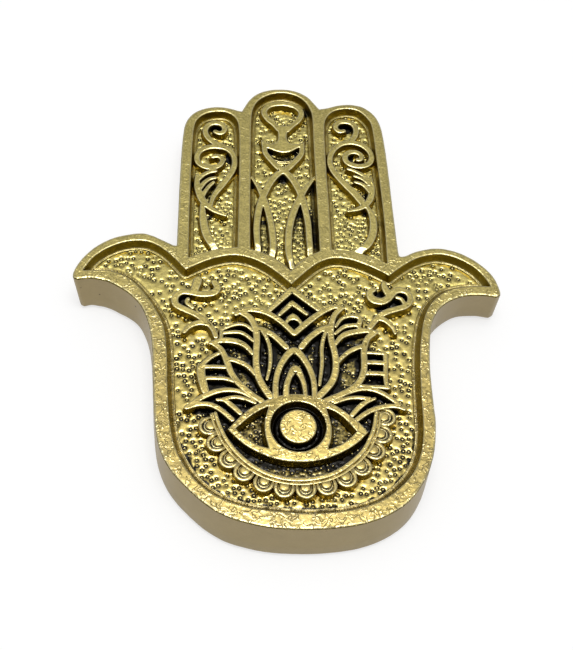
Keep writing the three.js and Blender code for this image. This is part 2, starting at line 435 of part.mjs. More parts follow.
const crescentLine = new THREE.SplineCurve(CRESCENT.map(vector));
const firstShare = 0.045; // of the crescent's length, at the first scallop
const lastShare = 0.985;
const radius = drawn(SCALLOP_DIAMETER) / 2;
const grooveWidth = drawn(SCALLOP_GROOVE);
const grooveRadius = radius - drawn(SCALLOP_LIP) - grooveWidth / 2;
const grooveFloor = GROUND + RELIEF_HEIGHT - SCALLOP_GROOVE_DEPTH;
for (let index = 0; index < SCALLOP_COUNT; index++) {
  const share = THREE.MathUtils.lerp(firstShare, lastShare, index / (SCALLOP_COUNT - 1));
  const along = crescentLine.getTangentAt(share);
  const outward = new THREE.Vector2(along.y, -along.x);
  const heading = THREE.MathUtils.radToDeg(outward.angle());
  const standOff = bandWidth / 2 + drawn(CLEARANCE) + radius / 2;
  const centre = crescentLine.getPointAt(share).addScaledVector(outward, standOff);
  const root = (point) => point.clone().addScaledVector(outward, -radius);
  const rounded = arc(centre, radius, heading - 90, heading + 90).map(vector);
  const tongue = [...rounded, root(rounded.at(-1)), root(rounded[0])];
  const groove = band(arc(centre, grooveRadius, heading - 125, heading + 125), [grooveWidth, grooveWidth]);
  const shape = () => plate(tongue, GROUND, RELIEF_HEIGHT).subtract(plate(groove, grooveFloor, RELIEF_HEIGHT));
  const name = `scallop_${String(index + 1).padStart(2, "0")}`;
  addRelief(name, shape, crescent, leftWing, rightWing);
}

// The casting's body with the stick bore, its rim, and the felt glued under it
const STICK_BORE_CENTRE = vector([1.3, -10.75]);
const body = plate(HAND, UNDERSIDE, GROUND - UNDERSIDE);
const boreBottom = GROUND - STICK_BORE_DEPTH;
const bore = column(STICK_BORE_CENTRE, STICK_BORE, boreBottom, STICK_BORE_DEPTH + RECESS_DEPTH);
addPart("base_slab", body.subtract(bore), castSide);
const fields = [LEFT_FINGER_FIELD, MIDDLE_FINGER_FIELD, RIGHT_FINGER_FIELD, PALM_FIELD];
const sunken = joined(fields.map((field) => plate(field, GROUND, RECESS_DEPTH)));
addPart("rim_frame", plate(HAND, GROUND, RECESS_DEPTH).subtract(sunken), blackenedGold);
addPart("felt_backing", plate(FELT, 0, FELT_THICKNESS), darkFelt);

export default holder;
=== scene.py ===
import math
import random
from functools import lru_cache

import bmesh
import bpy
from mathutils import Matrix, Vector, kdtree, noise
from mathutils.geometry import delaunay_2d_cdt, interpolate_bezier


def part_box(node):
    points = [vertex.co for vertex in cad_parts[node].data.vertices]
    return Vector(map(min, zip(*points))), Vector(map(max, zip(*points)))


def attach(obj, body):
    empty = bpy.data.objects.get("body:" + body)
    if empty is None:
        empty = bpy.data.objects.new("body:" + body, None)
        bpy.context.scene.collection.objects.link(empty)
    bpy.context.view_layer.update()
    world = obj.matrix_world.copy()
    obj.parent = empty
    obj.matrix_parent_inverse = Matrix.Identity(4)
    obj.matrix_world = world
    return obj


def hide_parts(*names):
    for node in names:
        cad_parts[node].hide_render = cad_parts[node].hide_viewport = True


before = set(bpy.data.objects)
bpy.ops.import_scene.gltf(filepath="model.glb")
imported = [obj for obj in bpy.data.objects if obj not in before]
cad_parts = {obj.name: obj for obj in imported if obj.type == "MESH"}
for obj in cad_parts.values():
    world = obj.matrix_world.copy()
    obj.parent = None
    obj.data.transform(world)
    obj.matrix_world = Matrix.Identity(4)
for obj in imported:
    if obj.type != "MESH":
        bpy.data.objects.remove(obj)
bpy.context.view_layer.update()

scene = bpy.context.scene
scene.view_settings.view_transform = "Standard"

# The camera stands over the foot of the palm and looks down along the hand, rolled a little.
# Its lens and place give the photograph's perspective in an upright frame of 573 by 650.
FRAME_HEIGHT = 650
FOCAL_LENGTH = 1600  # in pixels of that frame
CAMERA_PLACE = Vector((-0.0312, -0.2378, 0.3906))
pitch, yaw, roll = (math.radians(angle) for angle in (58.73, -7.66, 8.02))
ahead = Vector((0, math.cos(pitch), -math.sin(pitch)))
level = Vector((1, 0, 0))
upright = level.cross(ahead)
sideways = level * math.cos(roll) + upright * math.sin(roll)
above = upright * math.cos(roll) - level * math.sin(roll)
aim = Matrix.Rotation(yaw, 3, "Z") @ Matrix((sideways, above, -ahead)).transposed()
lens = bpy.data.cameras.new("camera")
lens.sensor_fit = "VERTICAL"
lens.sensor_height = 36
lens.lens = lens.sensor_height * FOCAL_LENGTH / FRAME_HEIGHT
camera = bpy.data.objects.new("camera", lens)
camera.matrix_world = Matrix.Translation(CAMERA_PLACE) @ aim.to_4x4()
scene.collection.objects.link(camera)
scene.camera = camera

# The studio: a white table that fills the view, a room that grows brighter towards the ceiling and a wide
# soft lamp straight above. The table keeps a faint shadow, so it is part paint and part glow to the eye.
TABLE_SIZE = 4.0
TABLE_PAINT = (0.8, 0.8, 0.8, 1)
TABLE_PAINT_SEEN = (0.4, 0.4, 0.4, 1)
TABLE_GLOW = 0.66
ROOM = ((0.0, 0.6), (0.5, 0.4), (0.74, 0.38), (0.88, 0.85), (0.97, 1.6))  # sine of elevation, brightness
ROOM_FRONT = ((0.25, 1.0), (0.6, 0.42))  # how far towards the camera's side, share of that brightness
LAMP_PLACE = (0, -0.05, 1.1)
LAMP_SIZE = 0.42
LAMP_POWER = 3.6


def add_node(tree, kind, values=None, **settings):
    """A shader node with its settings, and its inputs as values or as links from other sockets."""
    made = tree.nodes.new("ShaderNode" + kind)
    for name, setting in settings.items():
        setattr(made, name, setting)
    for socket, value in (values or {}).items():
        if isinstance(value, bpy.types.NodeSocket):
            tree.links.new(value, made.inputs[socket])
        else:
            made.inputs[socket].default_value = value
    return made


def new_material(name):
    """An empty material and its node tree."""
    material = bpy.data.materials.new(name)
    material.use_nodes = True
    material.node_tree.nodes.clear()
    return material, material.node_tree


def maths(tree, operation, *values):
    """The result of a calculation with values or sockets."""
    return add_node(tree, "Math", dict(enumerate(values)), operation=operation).outputs[0]


def mixed_colour(tree, share, first, second, blend="MIX"):
    """The first colour with a share of the second."""
    values = {0: share, 6: first, 7: second}
    return add_node(tree, "Mix", values, data_type="RGBA", blend_type=blend).outputs[2]


def grey_ramp(tree, value, stops):
    """A ramp of greys over the value, from places and their brightness."""
    ramp = add_node(tree, "ValToRGB", {0: value})
    while len(ramp.color_ramp.elements) < len(stops):
        ramp.color_ramp.elements.new(0.5)
    for stop, (place, brightness) in zip(ramp.color_ramp.elements, stops):
        stop.position = place
        stop.color = (brightness, brightness, brightness, 1)
    return ramp.outputs[0]


table_white, tree = new_material("table_white")
path = add_node(tree, "LightPath")
seen = maths(tree, "MAXIMUM", path.outputs["Is Camera Ray"], path.outputs["Is Glossy Ray"])
seen = maths(tree, "MAXIMUM", seen, path.outputs["Is Transmission Ray"])
paint = add_node(tree, "BsdfDiffuse", {"Color": TABLE_PAINT})
seen_paint = add_node(tree, "BsdfDiffuse", {"Color": TABLE_PAINT_SEEN})
glow = add_node(tree, "Emission", {"Strength": TABLE_GLOW})
lit = add_node(tree, "AddShader", {0: seen_paint.outputs[0], 1: glow.outputs[0]})
mixed = add_node(tree, "MixShader", {0: seen, 1: paint.outputs[0], 2: lit.outputs[0]})
add_node(tree, "OutputMaterial", {"Surface": mixed.outputs[0]})

bm = bmesh.new()
bmesh.ops.create_grid(bm, x_segments=1, y_segments=1, size=TABLE_SIZE / 2)
mesh = bpy.data.meshes.new("table")
bm.to_mesh(mesh)
bm.free()
mesh.materials.append(table_white)
table = bpy.data.objects.new("table", mesh)
scene.collection.objects.link(table)

room = bpy.data.worlds.new("room")
scene.world = room
room.use_nodes = True
tree = room.node_tree
tree.nodes.clear()
direction = add_node(tree, "TexCoord")
height = add_node(tree, "SeparateXYZ", {0: direction.outputs["Generated"]})
upward = grey_ramp(tree, height.outputs["Z"], ROOM)
forward = grey_ramp(tree, maths(tree, "MULTIPLY", height.outputs["Y"], -1), ROOM_FRONT)
dimmed = mixed_colour(tree, 1, upward, forward, "MULTIPLY")
sky = add_node(tree, "Background", {"Color": dimmed, "Strength": 1})
add_node(tree, "OutputWorld", {"Surface": sky.outputs[0]})

lamp = bpy.data.lights.new("lamp", "AREA")
lamp.size = LAMP_SIZE
lamp.energy = LAMP_POWER
lamp_stand = bpy.data.objects.new("lamp", lamp)
lamp_stand.location = LAMP_PLACE
scene.collection.objects.link(lamp_stand)

# The casting's body: a slab of polyresin in the shape of the hand, poured face down in a rubber mould.
# Its side is sprayed a satin gold-taupe, and the stick bore is left by a pin of the mould.
HAND = (
    (-13, 63.2),
    ((-12.3, 64.7), (-10.8, 67.5), (-8.3, 70.1), (-4.8, 71.6), (-0.8, 72.1), (3.2, 71.5), (6.6, 69.6),
     (8.8, 66.9), (10.2, 65)),
    ((12.5, 65.5), (16, 66.7), (19.8, 67.1), (23.4, 66.3), (26.4, 63.8), (28.2, 60.2), (29.1, 55),
     (29.9, 45), (30.8, 28), (31.6, 14.5), (32.1, 12.7)),
    ((33.4, 12.8), (37, 14.6), (42.3, 15.8), (47, 15.2), (51.6, 13.2), (55.7, 10), (58.6, 6.2), (60, 1.6),
     (59.6, 0.3), (58.6, -0.2)),
    ((54.1, 0.3), (48.3, -0.5), (43.3, -3.5), (40.5, -7.7), (39.2, -13), (38.5, -24), (38.8, -35), (39, -41),
     (38, -49.5), (35.6, -56.5), (31.5, -62.8), (26, -67.2), (19, -70.2), (11, -71.7), (3, -72.2),
     (-5, -71.9), (-11, -70.8), (-17, -68.9), (-22.5, -65.5), (-27.5, -60.8), (-31.3, -56.4),
     (-33.8, -51.9), (-35.4, -46.5), (-36.3, -38.5), (-36.9, -28), (-37.5, -18), (-38.7, -11.3),
     (-41, -5.9), (-43.9, -2.5), (-47.3, 0), (-50.6, 1.7), (-55.1, 2.5), (-58.6, 2)),
    ((-59.7, 2.4), (-60, 3.6), (-59.3, 6), (-57.3, 9.5), (-53.8, 13.3), (-49, 16.3), (-42.6, 18),
     (-39, 17.6), (-35, 15.7), (-32.3, 14.3), (-31.4, 14.4)),
    ((-31.2, 28), (-30.9, 42), (-30.4, 53), (-29.6, 58.3), (-27.4, 61.8), (-24.2, 63.7), (-20.4, 64.5),
     (-16.6, 64.1), (-14, 63.3), (-13, 63.2)),
)
BORE_CENTRE = (1.3, -10.75)
BORE_RADIUS = 1.6
BORE_DEPTH = 7
BORE_CLEAR = 2  # everything nearer to the bore's middle than this belongs to the bore
BORE_STEPS = 28
OUTLINE_STEP = 0.6
WIDE_ROOM = 5.0  # an outline with nothing close behind it
CROWDED = 0.42  # points inside an outline that are nearer to it than this would get in its rounding's way
CROSSING_ROOM = 0.5  # room to round the edge at points where outlines cross
PINCH_GAP = 0.2  # how far corners that only touch are drawn apart, as a share of the way into their faces
SAME_POINT = 1e-5
SHARPEST = 0.4  # limits how far the edge reaches out at a sharp corner
ROOM_USED = 0.8  # share of the room that a rounding may take
MM = 0.001
slab_low = Vector(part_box("base_slab")[0])
rim_low, rim_high = (Vector(corner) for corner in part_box("rim_frame"))
UNDERSIDE = slab_low.z / MM
GROUND = rim_low.z / MM
RIM_TOP = rim_high.z / MM
SEAM = GROUND - 0.4  # where the body is taken to end and the rim to begin
SIDE_TOP = RIM_TOP - 0.4
FOOT_LEAN = 1.6  # the side leans out at the palm's end and at the left thumb
LEFT_THUMB_LEAN = 1.1
RIGHT_THUMB_LEAN = 0.8  # and in at the right thumb and at the left thumb's tip
TIP_LEAN = 1.8
SIDE_PROFILE = ((-0.02, SEAM), (0, SEAM - 0.02), (0, SEAM - 0.06), (0, 5), (0, UNDERSIDE + 0.7),
                (-0.12, UNDERSIDE + 0.3), (-0.42, UNDERSIDE + 0.06), (-0.9, UNDERSIDE))


def ease(low, high, value):
    """0 at low, 1 at high and smooth between."""
    share = min(max((value - low) / (high - low), 0), 1)
    return share * share * (3 - 2 * share)


def smooth_line(points, step):
    """A smooth line through the drawn points, in steps of about that length."""
    line = []
    last = len(points) - 1
    for index in range(last):
        around = range(index - 1, index + 3)
        before, here, after, beyond = (Vector(points[min(max(place, 0), last)]) for place in around)
        count = max(2, round((after - here).length / step))
        leave = here + (after - before) / 6
        arrive = after - (beyond - here) / 6
        line.extend(interpolate_bezier(here, leave, arrive, after, count + 1)[:-1])
    return [*line, Vector(points[last])]


def anticlockwise(points):
    """The points in anticlockwise order."""
    area = sum(a.x * b.y - b.x * a.y for a, b in zip(points, [*points[1:], points[0]]))
    return points if area > 0 else points[::-1]


def drawn_outline(drawing, step=OUTLINE_STEP):
    """A closed outline from a start and smooth runs that meet at corners.

    The third number of a point is the room that there is to round the edge.
    """
    start, *runs = drawing
    points = []
    for run in runs:
        points.extend(smooth_line((start, *run), step)[:-1])
        start = run[-1]
    if (Vector(start) - points[0]).length > 0.01:
        points.append(Vector(start))
    return [Vector((*point, WIDE_ROOM)) for point in anticlockwise(points)]


def circle(centre, radius, count):
    """A closed round outline."""
    turns = (math.tau * index / count for index in range(count))
    return [Vector((centre[0] + radius * math.cos(turn), centre[1] + radius * math.sin(turn), radius))
            for turn in turns]


def nearest_of(points):
    """A search tree of flat points."""
    tree = kdtree.KDTree(len(points))
    for index, point in enumerate(points):
        tree.insert((point[0], point[1], 0), index)
    tree.balance()
    return tree


def away_from(tree, place):
    """How far the place is from the nearest of the tree's points, seen from above."""
    return tree.find((place[0], place[1], 0))[2]


def flat_region(outlines, holes=(), inside=()):
    """A flat bmesh of all that the outlines cover and the holes don't. Points inside make its faces even."""
    corners = []
    loops = []
    for outline in (*outlines, *holes):
        loops.append(list(range(len(corners), len(corners) + len(outline))))
        corners.extend(outline)
    fixed = len(corners)
    middles = nearest_of(inside)
    corners.extend(inside)
    flat = [corner.to_2d() for corner in corners]
    points, _, faces, origins, _, owners = delaunay_2d_cdt(flat, [], loops, 1, SAME_POINT, True)
    bm = bmesh.new()
    room = bm.verts.layers.float.new("room")
    home = bm.verts.layers.float_vector.new("home")
    verts = []
    for point, origin in zip(points, origins):
        vert = bm.verts.new((*point, 0))
        vert[home] = vert.co
        vert[room] = min((corners[index].z for index in origin if index < fixed), default=CROSSING_ROOM)
        if inside:
            away = middles.find(vert.co)[2]
            vert[room] = away if away < 0.9 * vert[room] else vert[room]
        verts.append(vert)
    for face, owner in zip(faces, owners):
        if owner and max(owner) < len(outlines):
            bm.faces.new([verts[index] for index in face])
    bmesh.ops.delete(bm, geom=[vert for vert in bm.verts if not vert.link_faces], context="VERTS")
    border = nearest_of([vert.co for vert in bm.verts if vert.is_boundary])
    crowded = [vert for vert in bm.verts if not vert.is_boundary and border.find(vert.co)[2] < CROWDED]
    bmesh.ops.dissolve_verts(bm, verts=crowded)
    for vert in [vert for vert in bm.verts if sum(edge.is_boundary for edge in vert.link_edges) > 2]:
        for part in bmesh.utils.vert_separate(vert, [edge for edge in vert.link_edges if edge.is_boundary]):
            centres = [face.calc_center_median() for face in part.link_faces]
            part.co = part.co.lerp(sum(centres, Vector()) / len(centres), PINCH_GAP)
            part[home] = part.co
    return bm


def open_edges(bm):
    """The edges with a face on one side only."""
    return [edge for edge in bm.edges if edge.is_boundary]


def roll_edge(bm, edges, profile):
    """Rolls open edges of a flat top over and down.

    A step of the profile is how far outside the outline it lies, and its level.
    """
    depth = -min(reach for reach, _ in profile)
    top = profile[0][1]
    room = bm.verts.layers.float["room"]
    home = bm.verts.layers.float_vector["home"]
    lean = bm.verts.layers.float_vector.get("lean") or bm.verts.layers.float_vector.new("lean")
    outs = {}
    for edge in edges:
        loop = edge.link_loops[0]
        along = (loop.link_loop_next.vert.co - loop.vert.co).normalized()
        for vert in edge.verts:
            outs.setdefault(vert, []).append(Vector((along.y, -along.x, 0)))
    for vert, normals in outs.items():
        mean = sum(normals, Vector()) / len(normals)
        vert[lean] = mean / max(mean.length_squared, SHARPEST)
    verts = list(outs)
    for index, (reach, level) in enumerate(profile):
        if index:
            grown = bmesh.ops.extrude_edge_only(bm, edges=edges)["geom"]
            verts = [part for part in grown if isinstance(part, bmesh.types.BMVert)]
            edges = [part for part in grown if isinstance(part, bmesh.types.BMEdge) and part.is_boundary]
        for vert in verts:
            share = min(1, ROOM_USED * vert[room] / depth) if reach < 0 else 1
            vert.co = vert[home] + vert[lean] * reach * share
            vert.co.z = top + (level - top) * share if reach < 0 else level
    return edges


def close_below(bm, top_faces, foot):
    """Closes the underside with the pattern of the top, joined to the foot's edges."""
    home = bm.verts.layers.float_vector["home"]
    below = {tuple(vert[home]): vert for edge in foot for vert in edge.verts}
    level = foot[0].verts[0].co.z
    for face in top_faces:
        corners = []
        for vert in reversed(face.verts):
            place = tuple(vert[home])
            if place not in below:
                below[place] = bm.verts.new((*vert.co.to_2d(), level))
            corners.append(below[place])
        bm.faces.new(corners)


hand_outline = drawn_outline(HAND)
drawn_low = Vector((min(point.x for point in hand_outline), min(point.y for point in hand_outline), 0))
drawn_high = Vector((max(point.x for point in hand_outline), max(point.y for point in hand_outline), 0))
stretch_x = (rim_high.x - rim_low.x) / (drawn_high.x - drawn_low.x)
stretch_y = (rim_high.y - rim_low.y) / (drawn_high.y - drawn_low.y)
TO_FRAME = (Matrix.Translation((rim_low.x, rim_low.y, 0)) @ Matrix.Diagonal((stretch_x, stretch_y, MM, 1))
            @ Matrix.Translation(-drawn_low))
WOBBLE = 0.035  # how far hand finishing moves a surface
WOBBLE_RATE = 0.6
bore_middle = Vector(BORE_CENTRE)
pieces = []


def add_piece(name, bm, material, slot, *nodes, second=None):
    """Makes the bmesh, drawn in millimetres, a piece of the holder in place of the nodes."""
    for vert in bm.verts:
        vert.co += noise.noise_vector(vert.co * WOBBLE_RATE) * WOBBLE
    bmesh.ops.recalc_face_normals(bm, faces=bm.faces)
    if bm.calc_volume(signed=True) < 0:
        bmesh.ops.reverse_faces(bm, faces=bm.faces)
    bmesh.ops.transform(bm, matrix=TO_FRAME, verts=bm.verts)
    for face in bm.faces:
        face.smooth = True
    for layer in ("home", "lean"):
        if layer in bm.verts.layers.float_vector:
            bm.verts.layers.float_vector.remove(bm.verts.layers.float_vector[layer])
    if "room" in bm.verts.layers.float:
        bm.verts.layers.float.remove(bm.verts.layers.float["room"])
    mesh = bpy.data.meshes.new(name)
    bm.to_mesh(mesh)
    bm.free()
    mesh.materials.append(material)
    if second:
        mesh.materials.append(second)
    piece = bpy.data.objects.new(name, mesh)
    scene.collection.objects.link(piece)
    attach(piece, "root")
    if nodes:
        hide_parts(*nodes)
    pieces.append(piece)


def lean_side(place):
    """Moves a point of the side as far as the side leans at its height."""
    depth = max(0, (SIDE_TOP - place.z) / (SIDE_TOP - UNDERSIDE))
    x, y, _ = place
    place.x += depth * TIP_LEAN * ease(-53, -60, x)
    place.y += depth * (RIGHT_THUMB_LEAN * ease(42, 50, x) - LEFT_THUMB_LEAN * ease(-40, -48, x))
    place.y -= depth * FOOT_LEAN * ease(-42, -62, y)


def off_bore(place):
    """How far the place is from the bore's middle, seen from above."""
    return (place.to_2d() - bore_middle).length


def ranged(tree, value, low, high, start=0, end=1, kind="LINEAR"):
    """The value taken from between low and high to between start and end."""
    values = {0: value, 1: low, 2: high, 3: start, 4: end}
    return add_node(tree, "MapRange", values, interpolation_type=kind).outputs[0]


def noise_at(tree, place, scale, detail, **more):
    """Noise at the place."""
    return add_node(tree, "TexNoise", {"Vector": place, "Scale": scale, "Detail": detail, **more}).outputs[0]


def satin_side(name, paint, shade, pinhole):
    """Satin spray over resin: a soft sheen, faint clouds and a few pinholes."""
    material, tree = new_material(name)
    place = add_node(tree, "TexCoord").outputs["Object"]
    tone = mixed_colour(tree, noise_at(tree, place, 130, 8, Roughness=0.72), shade, paint)
    holes = add_node(tree, "TexVoronoi", {"Vector": place, "Scale": 240, "Randomness": 1})
    pin = ranged(tree, holes.outputs["Distance"], 0.06, 0.1, 1, 0)
    rare = ranged(tree, noise_at(tree, place, 70, 1), 0.53, 0.58)
    colour = mixed_colour(tree, maths(tree, "MULTIPLY", pin, rare), tone, pinhole)
    grain = noise_at(tree, place, 1600, 3)
    bump = add_node(tree, "Bump", {"Height": grain, "Strength": 0.25, "Distance": 0.0001})
    skin = add_node(tree, "BsdfPrincipled", {"Base Color": colour, "Metallic": 0.45, "Roughness": 0.42,
                                             "Normal": bump.outputs[0]})
    add_node(tree, "OutputMaterial", {"Surface": skin.outputs[0]})
    return material


def bore_black(name, soot, resin):
    """Soot and old ash on the bare resin of the bore."""
    material, tree = new_material(name)
    place = add_node(tree, "TexCoord").outputs["Object"]
    colour = mixed_colour(tree, noise_at(tree, place, 900, 4), soot, resin)
    skin = add_node(tree, "BsdfPrincipled", {"Base Color": colour, "Roughness": 0.8,
                                             "Specular IOR Level": 0.2})
    add_node(tree, "OutputMaterial", {"Surface": skin.outputs[0]})
    return material


cast_side = satin_side("cast_side", (0.43, 0.336, 0.165, 1), (0.32, 0.247, 0.116, 1), (0.09, 0.06, 0.03, 1))
bore_soot = bore_black("bore_soot", (0.004, 0.004, 0.003, 1), (0.022, 0.018, 0.012, 1))
bore_outline = circle(BORE_CENTRE, BORE_RADIUS, BORE_STEPS)
bm = flat_region([hand_outline], [bore_outline])
edges = open_edges(bm)
bore_edges = [edge for edge in edges if off_bore(edge.verts[0].co) < BORE_CLEAR]
side_edges = [edge for edge in edges if off_bore(edge.verts[0].co) > BORE_CLEAR]
for vert in bm.verts:
    vert.co.z = SEAM
bore_low = GROUND - BORE_DEPTH
bore_floor = roll_edge(bm, bore_edges, ((0, SEAM), (0, bore_low + 0.4), (-0.4, bore_low)))
bmesh.ops.triangle_fill(bm, use_beauty=True, edges=bore_floor)
foot = roll_edge(bm, side_edges, SIDE_PROFILE)
bmesh.ops.triangle_fill(bm, use_beauty=True, edges=foot)
for vert in bm.verts:
    if off_bore(vert.co) > BORE_CLEAR:
        lean_side(vert.co)
for face in bm.faces:
    middle = face.calc_center_median()
    if UNDERSIDE + 1 < middle.z < SEAM - 0.01 and off_bore(middle) < BORE_RADIUS + 0.1:
        face.material_index = 1
add_piece("cast_slab", bm, cast_side, "cast_body", "base_slab", second=bore_soot)

# The raised rim: one piece with the body on the real holder, with gold paint rubbed over the casting.
# The mould rounds it outside, its inner walls lean a little, and its paint is cracked at the palm's end.
LEFT_FINGER_FIELD = (
    (-14.3, 14.3),
    ((-14, 30), (-13.8, 48), (-14.1, 57.5), (-15.3, 60.8), (-17.6, 62.4), (-20.2, 62.6), (-23.3, 61.9),
     (-25.9, 59.9), (-27.2, 56), (-27.7, 45), (-28, 26), (-28, 10.4)),
    ((-25, 11.8), (-21, 13.2), (-17.5, 14), (-14.3, 14.3)),
)
MIDDLE_FINGER_FIELD = (
    (-10.6, 13.9),
    ((-10.6, 30), (-10.4, 48), (-10.2, 60), (-9.4, 65), (-7.4, 68), (-4.3, 69.9), (-0.9, 70.6), (2.5, 70),
     (5.3, 68.2), (7.1, 65.4), (8, 61.5), (8.2, 50), (8.6, 35), (9.1, 13.8)),
    ((6, 12), (3.2, 9.6), (0.8, 6.9)),
    ((-2, 9.6), (-5.5, 12), (-10.6, 13.9)),
)
RIGHT_FINGER_FIELD = (
    (12.6, 14.5),
    ((12.2, 30), (11.7, 45), (11.6, 57), (12.2, 61.4), (14.2, 64), (17, 65.1), (19.5, 65.3), (22.2, 64.5),
     (24.5, 62), (25.8, 58.8), (26.6, 49), (27.3, 38), (28, 24), (28.2, 10.2)),
    ((25, 11.8), (21, 13.3), (17, 14.2), (12.6, 14.5)),
)
PALM_FIELD = (
    (0.9, 2.2),
    ((4.5, 6), (8, 9.2), (11.5, 11), (15, 11.4), (19, 10.6), (24, 8.5), (28.6, 5.9)),
    ((32.3, 9.1), (36.5, 11.9), (40.5, 13.3), (44.2, 13.6), (48.5, 12.4), (52.6, 9.9), (55.6, 6.6),
     (57.3, 3.4)),
    ((53, 3.4), (48, 2.6), (44.5, 1.3), (41.6, -0.9), (39.2, -4.2), (37.6, -8.3), (36.5, -14), (35.8, -21),
     (35.5, -32), (35.5, -42), (34.6, -49), (32.4, -54.8), (28.5, -59.7), (23, -63.8), (15.5, -66.4),
     (6, -67.6), (-4, -67.2), (-12.5, -65.9), (-20, -62.9), (-25.8, -57.8), (-29.8, -51), (-31.8, -43.5),
     (-32.8, -33), (-33.3, -21), (-34.4, -12.5), (-37, -6.6), (-40.2, -1.7), (-44, 2.5), (-48.5, 4.9),
     (-53, 5.3), (-57.3, 5.1)),
    ((-54.6, 9.3), (-51, 12.4), (-46.6, 14.6), (-42.3, 15.4), (-38.4, 14.8), (-34.6, 12.4), (-31.5, 9.3),
     (-28.8, 6.1)),
    ((-24, 8.8), (-19.5, 10.6), (-15, 11.4), (-11, 10.7), (-7, 8.9), (-3, 5.9), (0.9, 2.2)),
)
RIM_OUTER = ((-0.72, RIM_TOP), (-0.64, RIM_TOP), (-0.25, RIM_TOP - 0.06), (-0.07, RIM_TOP - 0.17),
             (0, RIM_TOP - 0.4), (0, RIM_TOP - 0.52), (0, SEAM + 0.04), (0, SEAM))
RIM_INNER = ((-0.5, RIM_TOP), (-0.44, RIM_TOP), (-0.17, RIM_TOP - 0.08), (-0.05, RIM_TOP - 0.2),
             (0, RIM_TOP - 0.38), (0.1, GROUND + 1.4), (0.2, GROUND + 0.5), (0.3, GROUND + 0.2),
             (0.46, GROUND + 0.08), (0.6, GROUND + 0.26), (0.74, GROUND + 0.32), (0.92, GROUND + 0.16),
             (1.0, GROUND - 0.16), (1.0, SEAM))
PALM_SLANT = 1.0  # how much further into its field an inner wall runs than its section says
FINGER_SLANT = 0.4
SLANT_TURN = 0.5  # and how much more of that where it faces the fingers
TOP_FALL = 0.06  # how steeply its top falls outward at the palm's end
RIM_POINT_GAP = 1.1  # between the points that carry the rim's uneven top
RIM_POINT_CLEAR = 1.75  # and from them to its edges
RIM_HALF = 2.2  # half its width at the palm's end
ON_LINE = 1e-3  # a point this near to an outline is on it
PAINTED_SHADE_GOLD = (0.32, 0.235, 0.026, 1)  # painted shade: a darker gold on the steep walls
PAINTED_HIGHLIGHT_GOLD = (0.98, 0.87, 0.42, 1)  # painted highlight: a pale gold on tilted edges, bead tops and the rim's lip
PALM_TINT = (1.0, 0.91, 0.76, 1)  # the gold is browner towards the palm's end
WASH_BLACK = (0.007, 0.006, 0.004, 1)


def new_group(name, inputs, outputs):
    """An empty node group with named sockets."""
    group = bpy.data.node_groups.new(name, "ShaderNodeTree")
    for label, kind in inputs:
        group.interface.new_socket(label, in_out="INPUT", socket_type="NodeSocket" + kind)
    for label, kind in outputs:
        group.interface.new_socket(label, in_out="OUTPUT", socket_type="NodeSocket" + kind)
    return group, group.nodes.new("NodeGroupInput"), group.nodes.new("NodeGroupOutput")


aged_gold, taken, given = new_group(
    "aged_gold",
    (("Bright", "Color"), ("Dull", "Color"), ("Wash", "Float"), ("Painted Light", "Float"), ("Crumple", "Float"),
     ("Dents", "Float"), ("Gloss", "Float")),
    (("Color", "Color"), ("Roughness", "Float"), ("Lacquer", "Float"), ("Height", "Float")),
)
place = add_node(aged_gold, "TexCoord").outputs["Object"]
along = add_node(aged_gold, "SeparateXYZ", {0: place}).outputs["Y"]
# Painted light: below one half it mixes in the painted shade of the steep walls, above one half the painted
# highlights.
upper = ranged(aged_gold, taken.outputs["Painted Light"], 0, 0.5)
wear_and_highlight = ranged(aged_gold, taken.outputs["Painted Light"], 0.5, 1, 0, 0.6)
clouds = noise_at(aged_gold, place, 260, 3, Roughness=0.6)
speckle = noise_at(aged_gold, place, 1700, 2)
fine = ranged(aged_gold, along, 0.015, -0.035, 0.7, 0.2)
blend = add_node(aged_gold, "Mix", {0: fine, 2: clouds, 3: speckle}).outputs[0]
patchy = ranged(aged_gold, blend, 0.4, 0.6)
gold = mixed_colour(aged_gold, patchy, taken.outputs["Dull"], taken.outputs["Bright"])
palm_end = ranged(aged_gold, along, 0.015, -0.035)
gold = mixed_colour(aged_gold, palm_end, gold, PALM_TINT, "MULTIPLY")
gold = mixed_colour(aged_gold, upper, PAINTED_SHADE_GOLD, gold)
gold = mixed_colour(aged_gold, wear_and_highlight, gold, PAINTED_HIGHLIGHT_GOLD)
swell = noise_at(aged_gold, place, 480, 0.6, Distortion=1.0)
level = maths(aged_gold, "ABSOLUTE", maths(aged_gold, "SUBTRACT", swell, 0.5))
fold = ranged(aged_gold, level, 0, 0.08, 1.7, 0, "SMOOTHSTEP")
here = ranged(aged_gold, noise_at(aged_gold, place, 380, 2), 0.4, 0.52)
fold = maths(aged_gold, "MULTIPLY", fold, here)
fold = maths(aged_gold, "MULTIPLY_ADD", swell, 2.6, fold)
longer = add_node(aged_gold, "Mapping", {0: place, 3: (420, 760, 600)}).outputs[0]
dents = noise_at(aged_gold, longer, 1, 2, Distortion=0.8)
crease = ranged(aged_gold, along, 0.018, -0.012, 0.25, 1)
amount = maths(aged_gold, "MULTIPLY", taken.outputs["Crumple"], crease)
dented = maths(aged_gold, "MULTIPLY", dents, taken.outputs["Dents"])
crumpled = maths(aged_gold, "MULTIPLY_ADD", fold, amount, dented)
ragged = ranged(aged_gold, noise_at(aged_gold, place, 1500, 3), 0.2, 0.8, -0.2, 0.2)
soaked = maths(aged_gold, "ADD", taken.outputs["Wash"], ragged)
black = ranged(aged_gold, soaked, 0.2, 0.75, kind="SMOOTHSTEP")
washed = mixed_colour(aged_gold, black, gold, WASH_BLACK)
clear = ranged(aged_gold, black, 0, 1, upper, maths(aged_gold, "MULTIPLY", upper, 0.1))
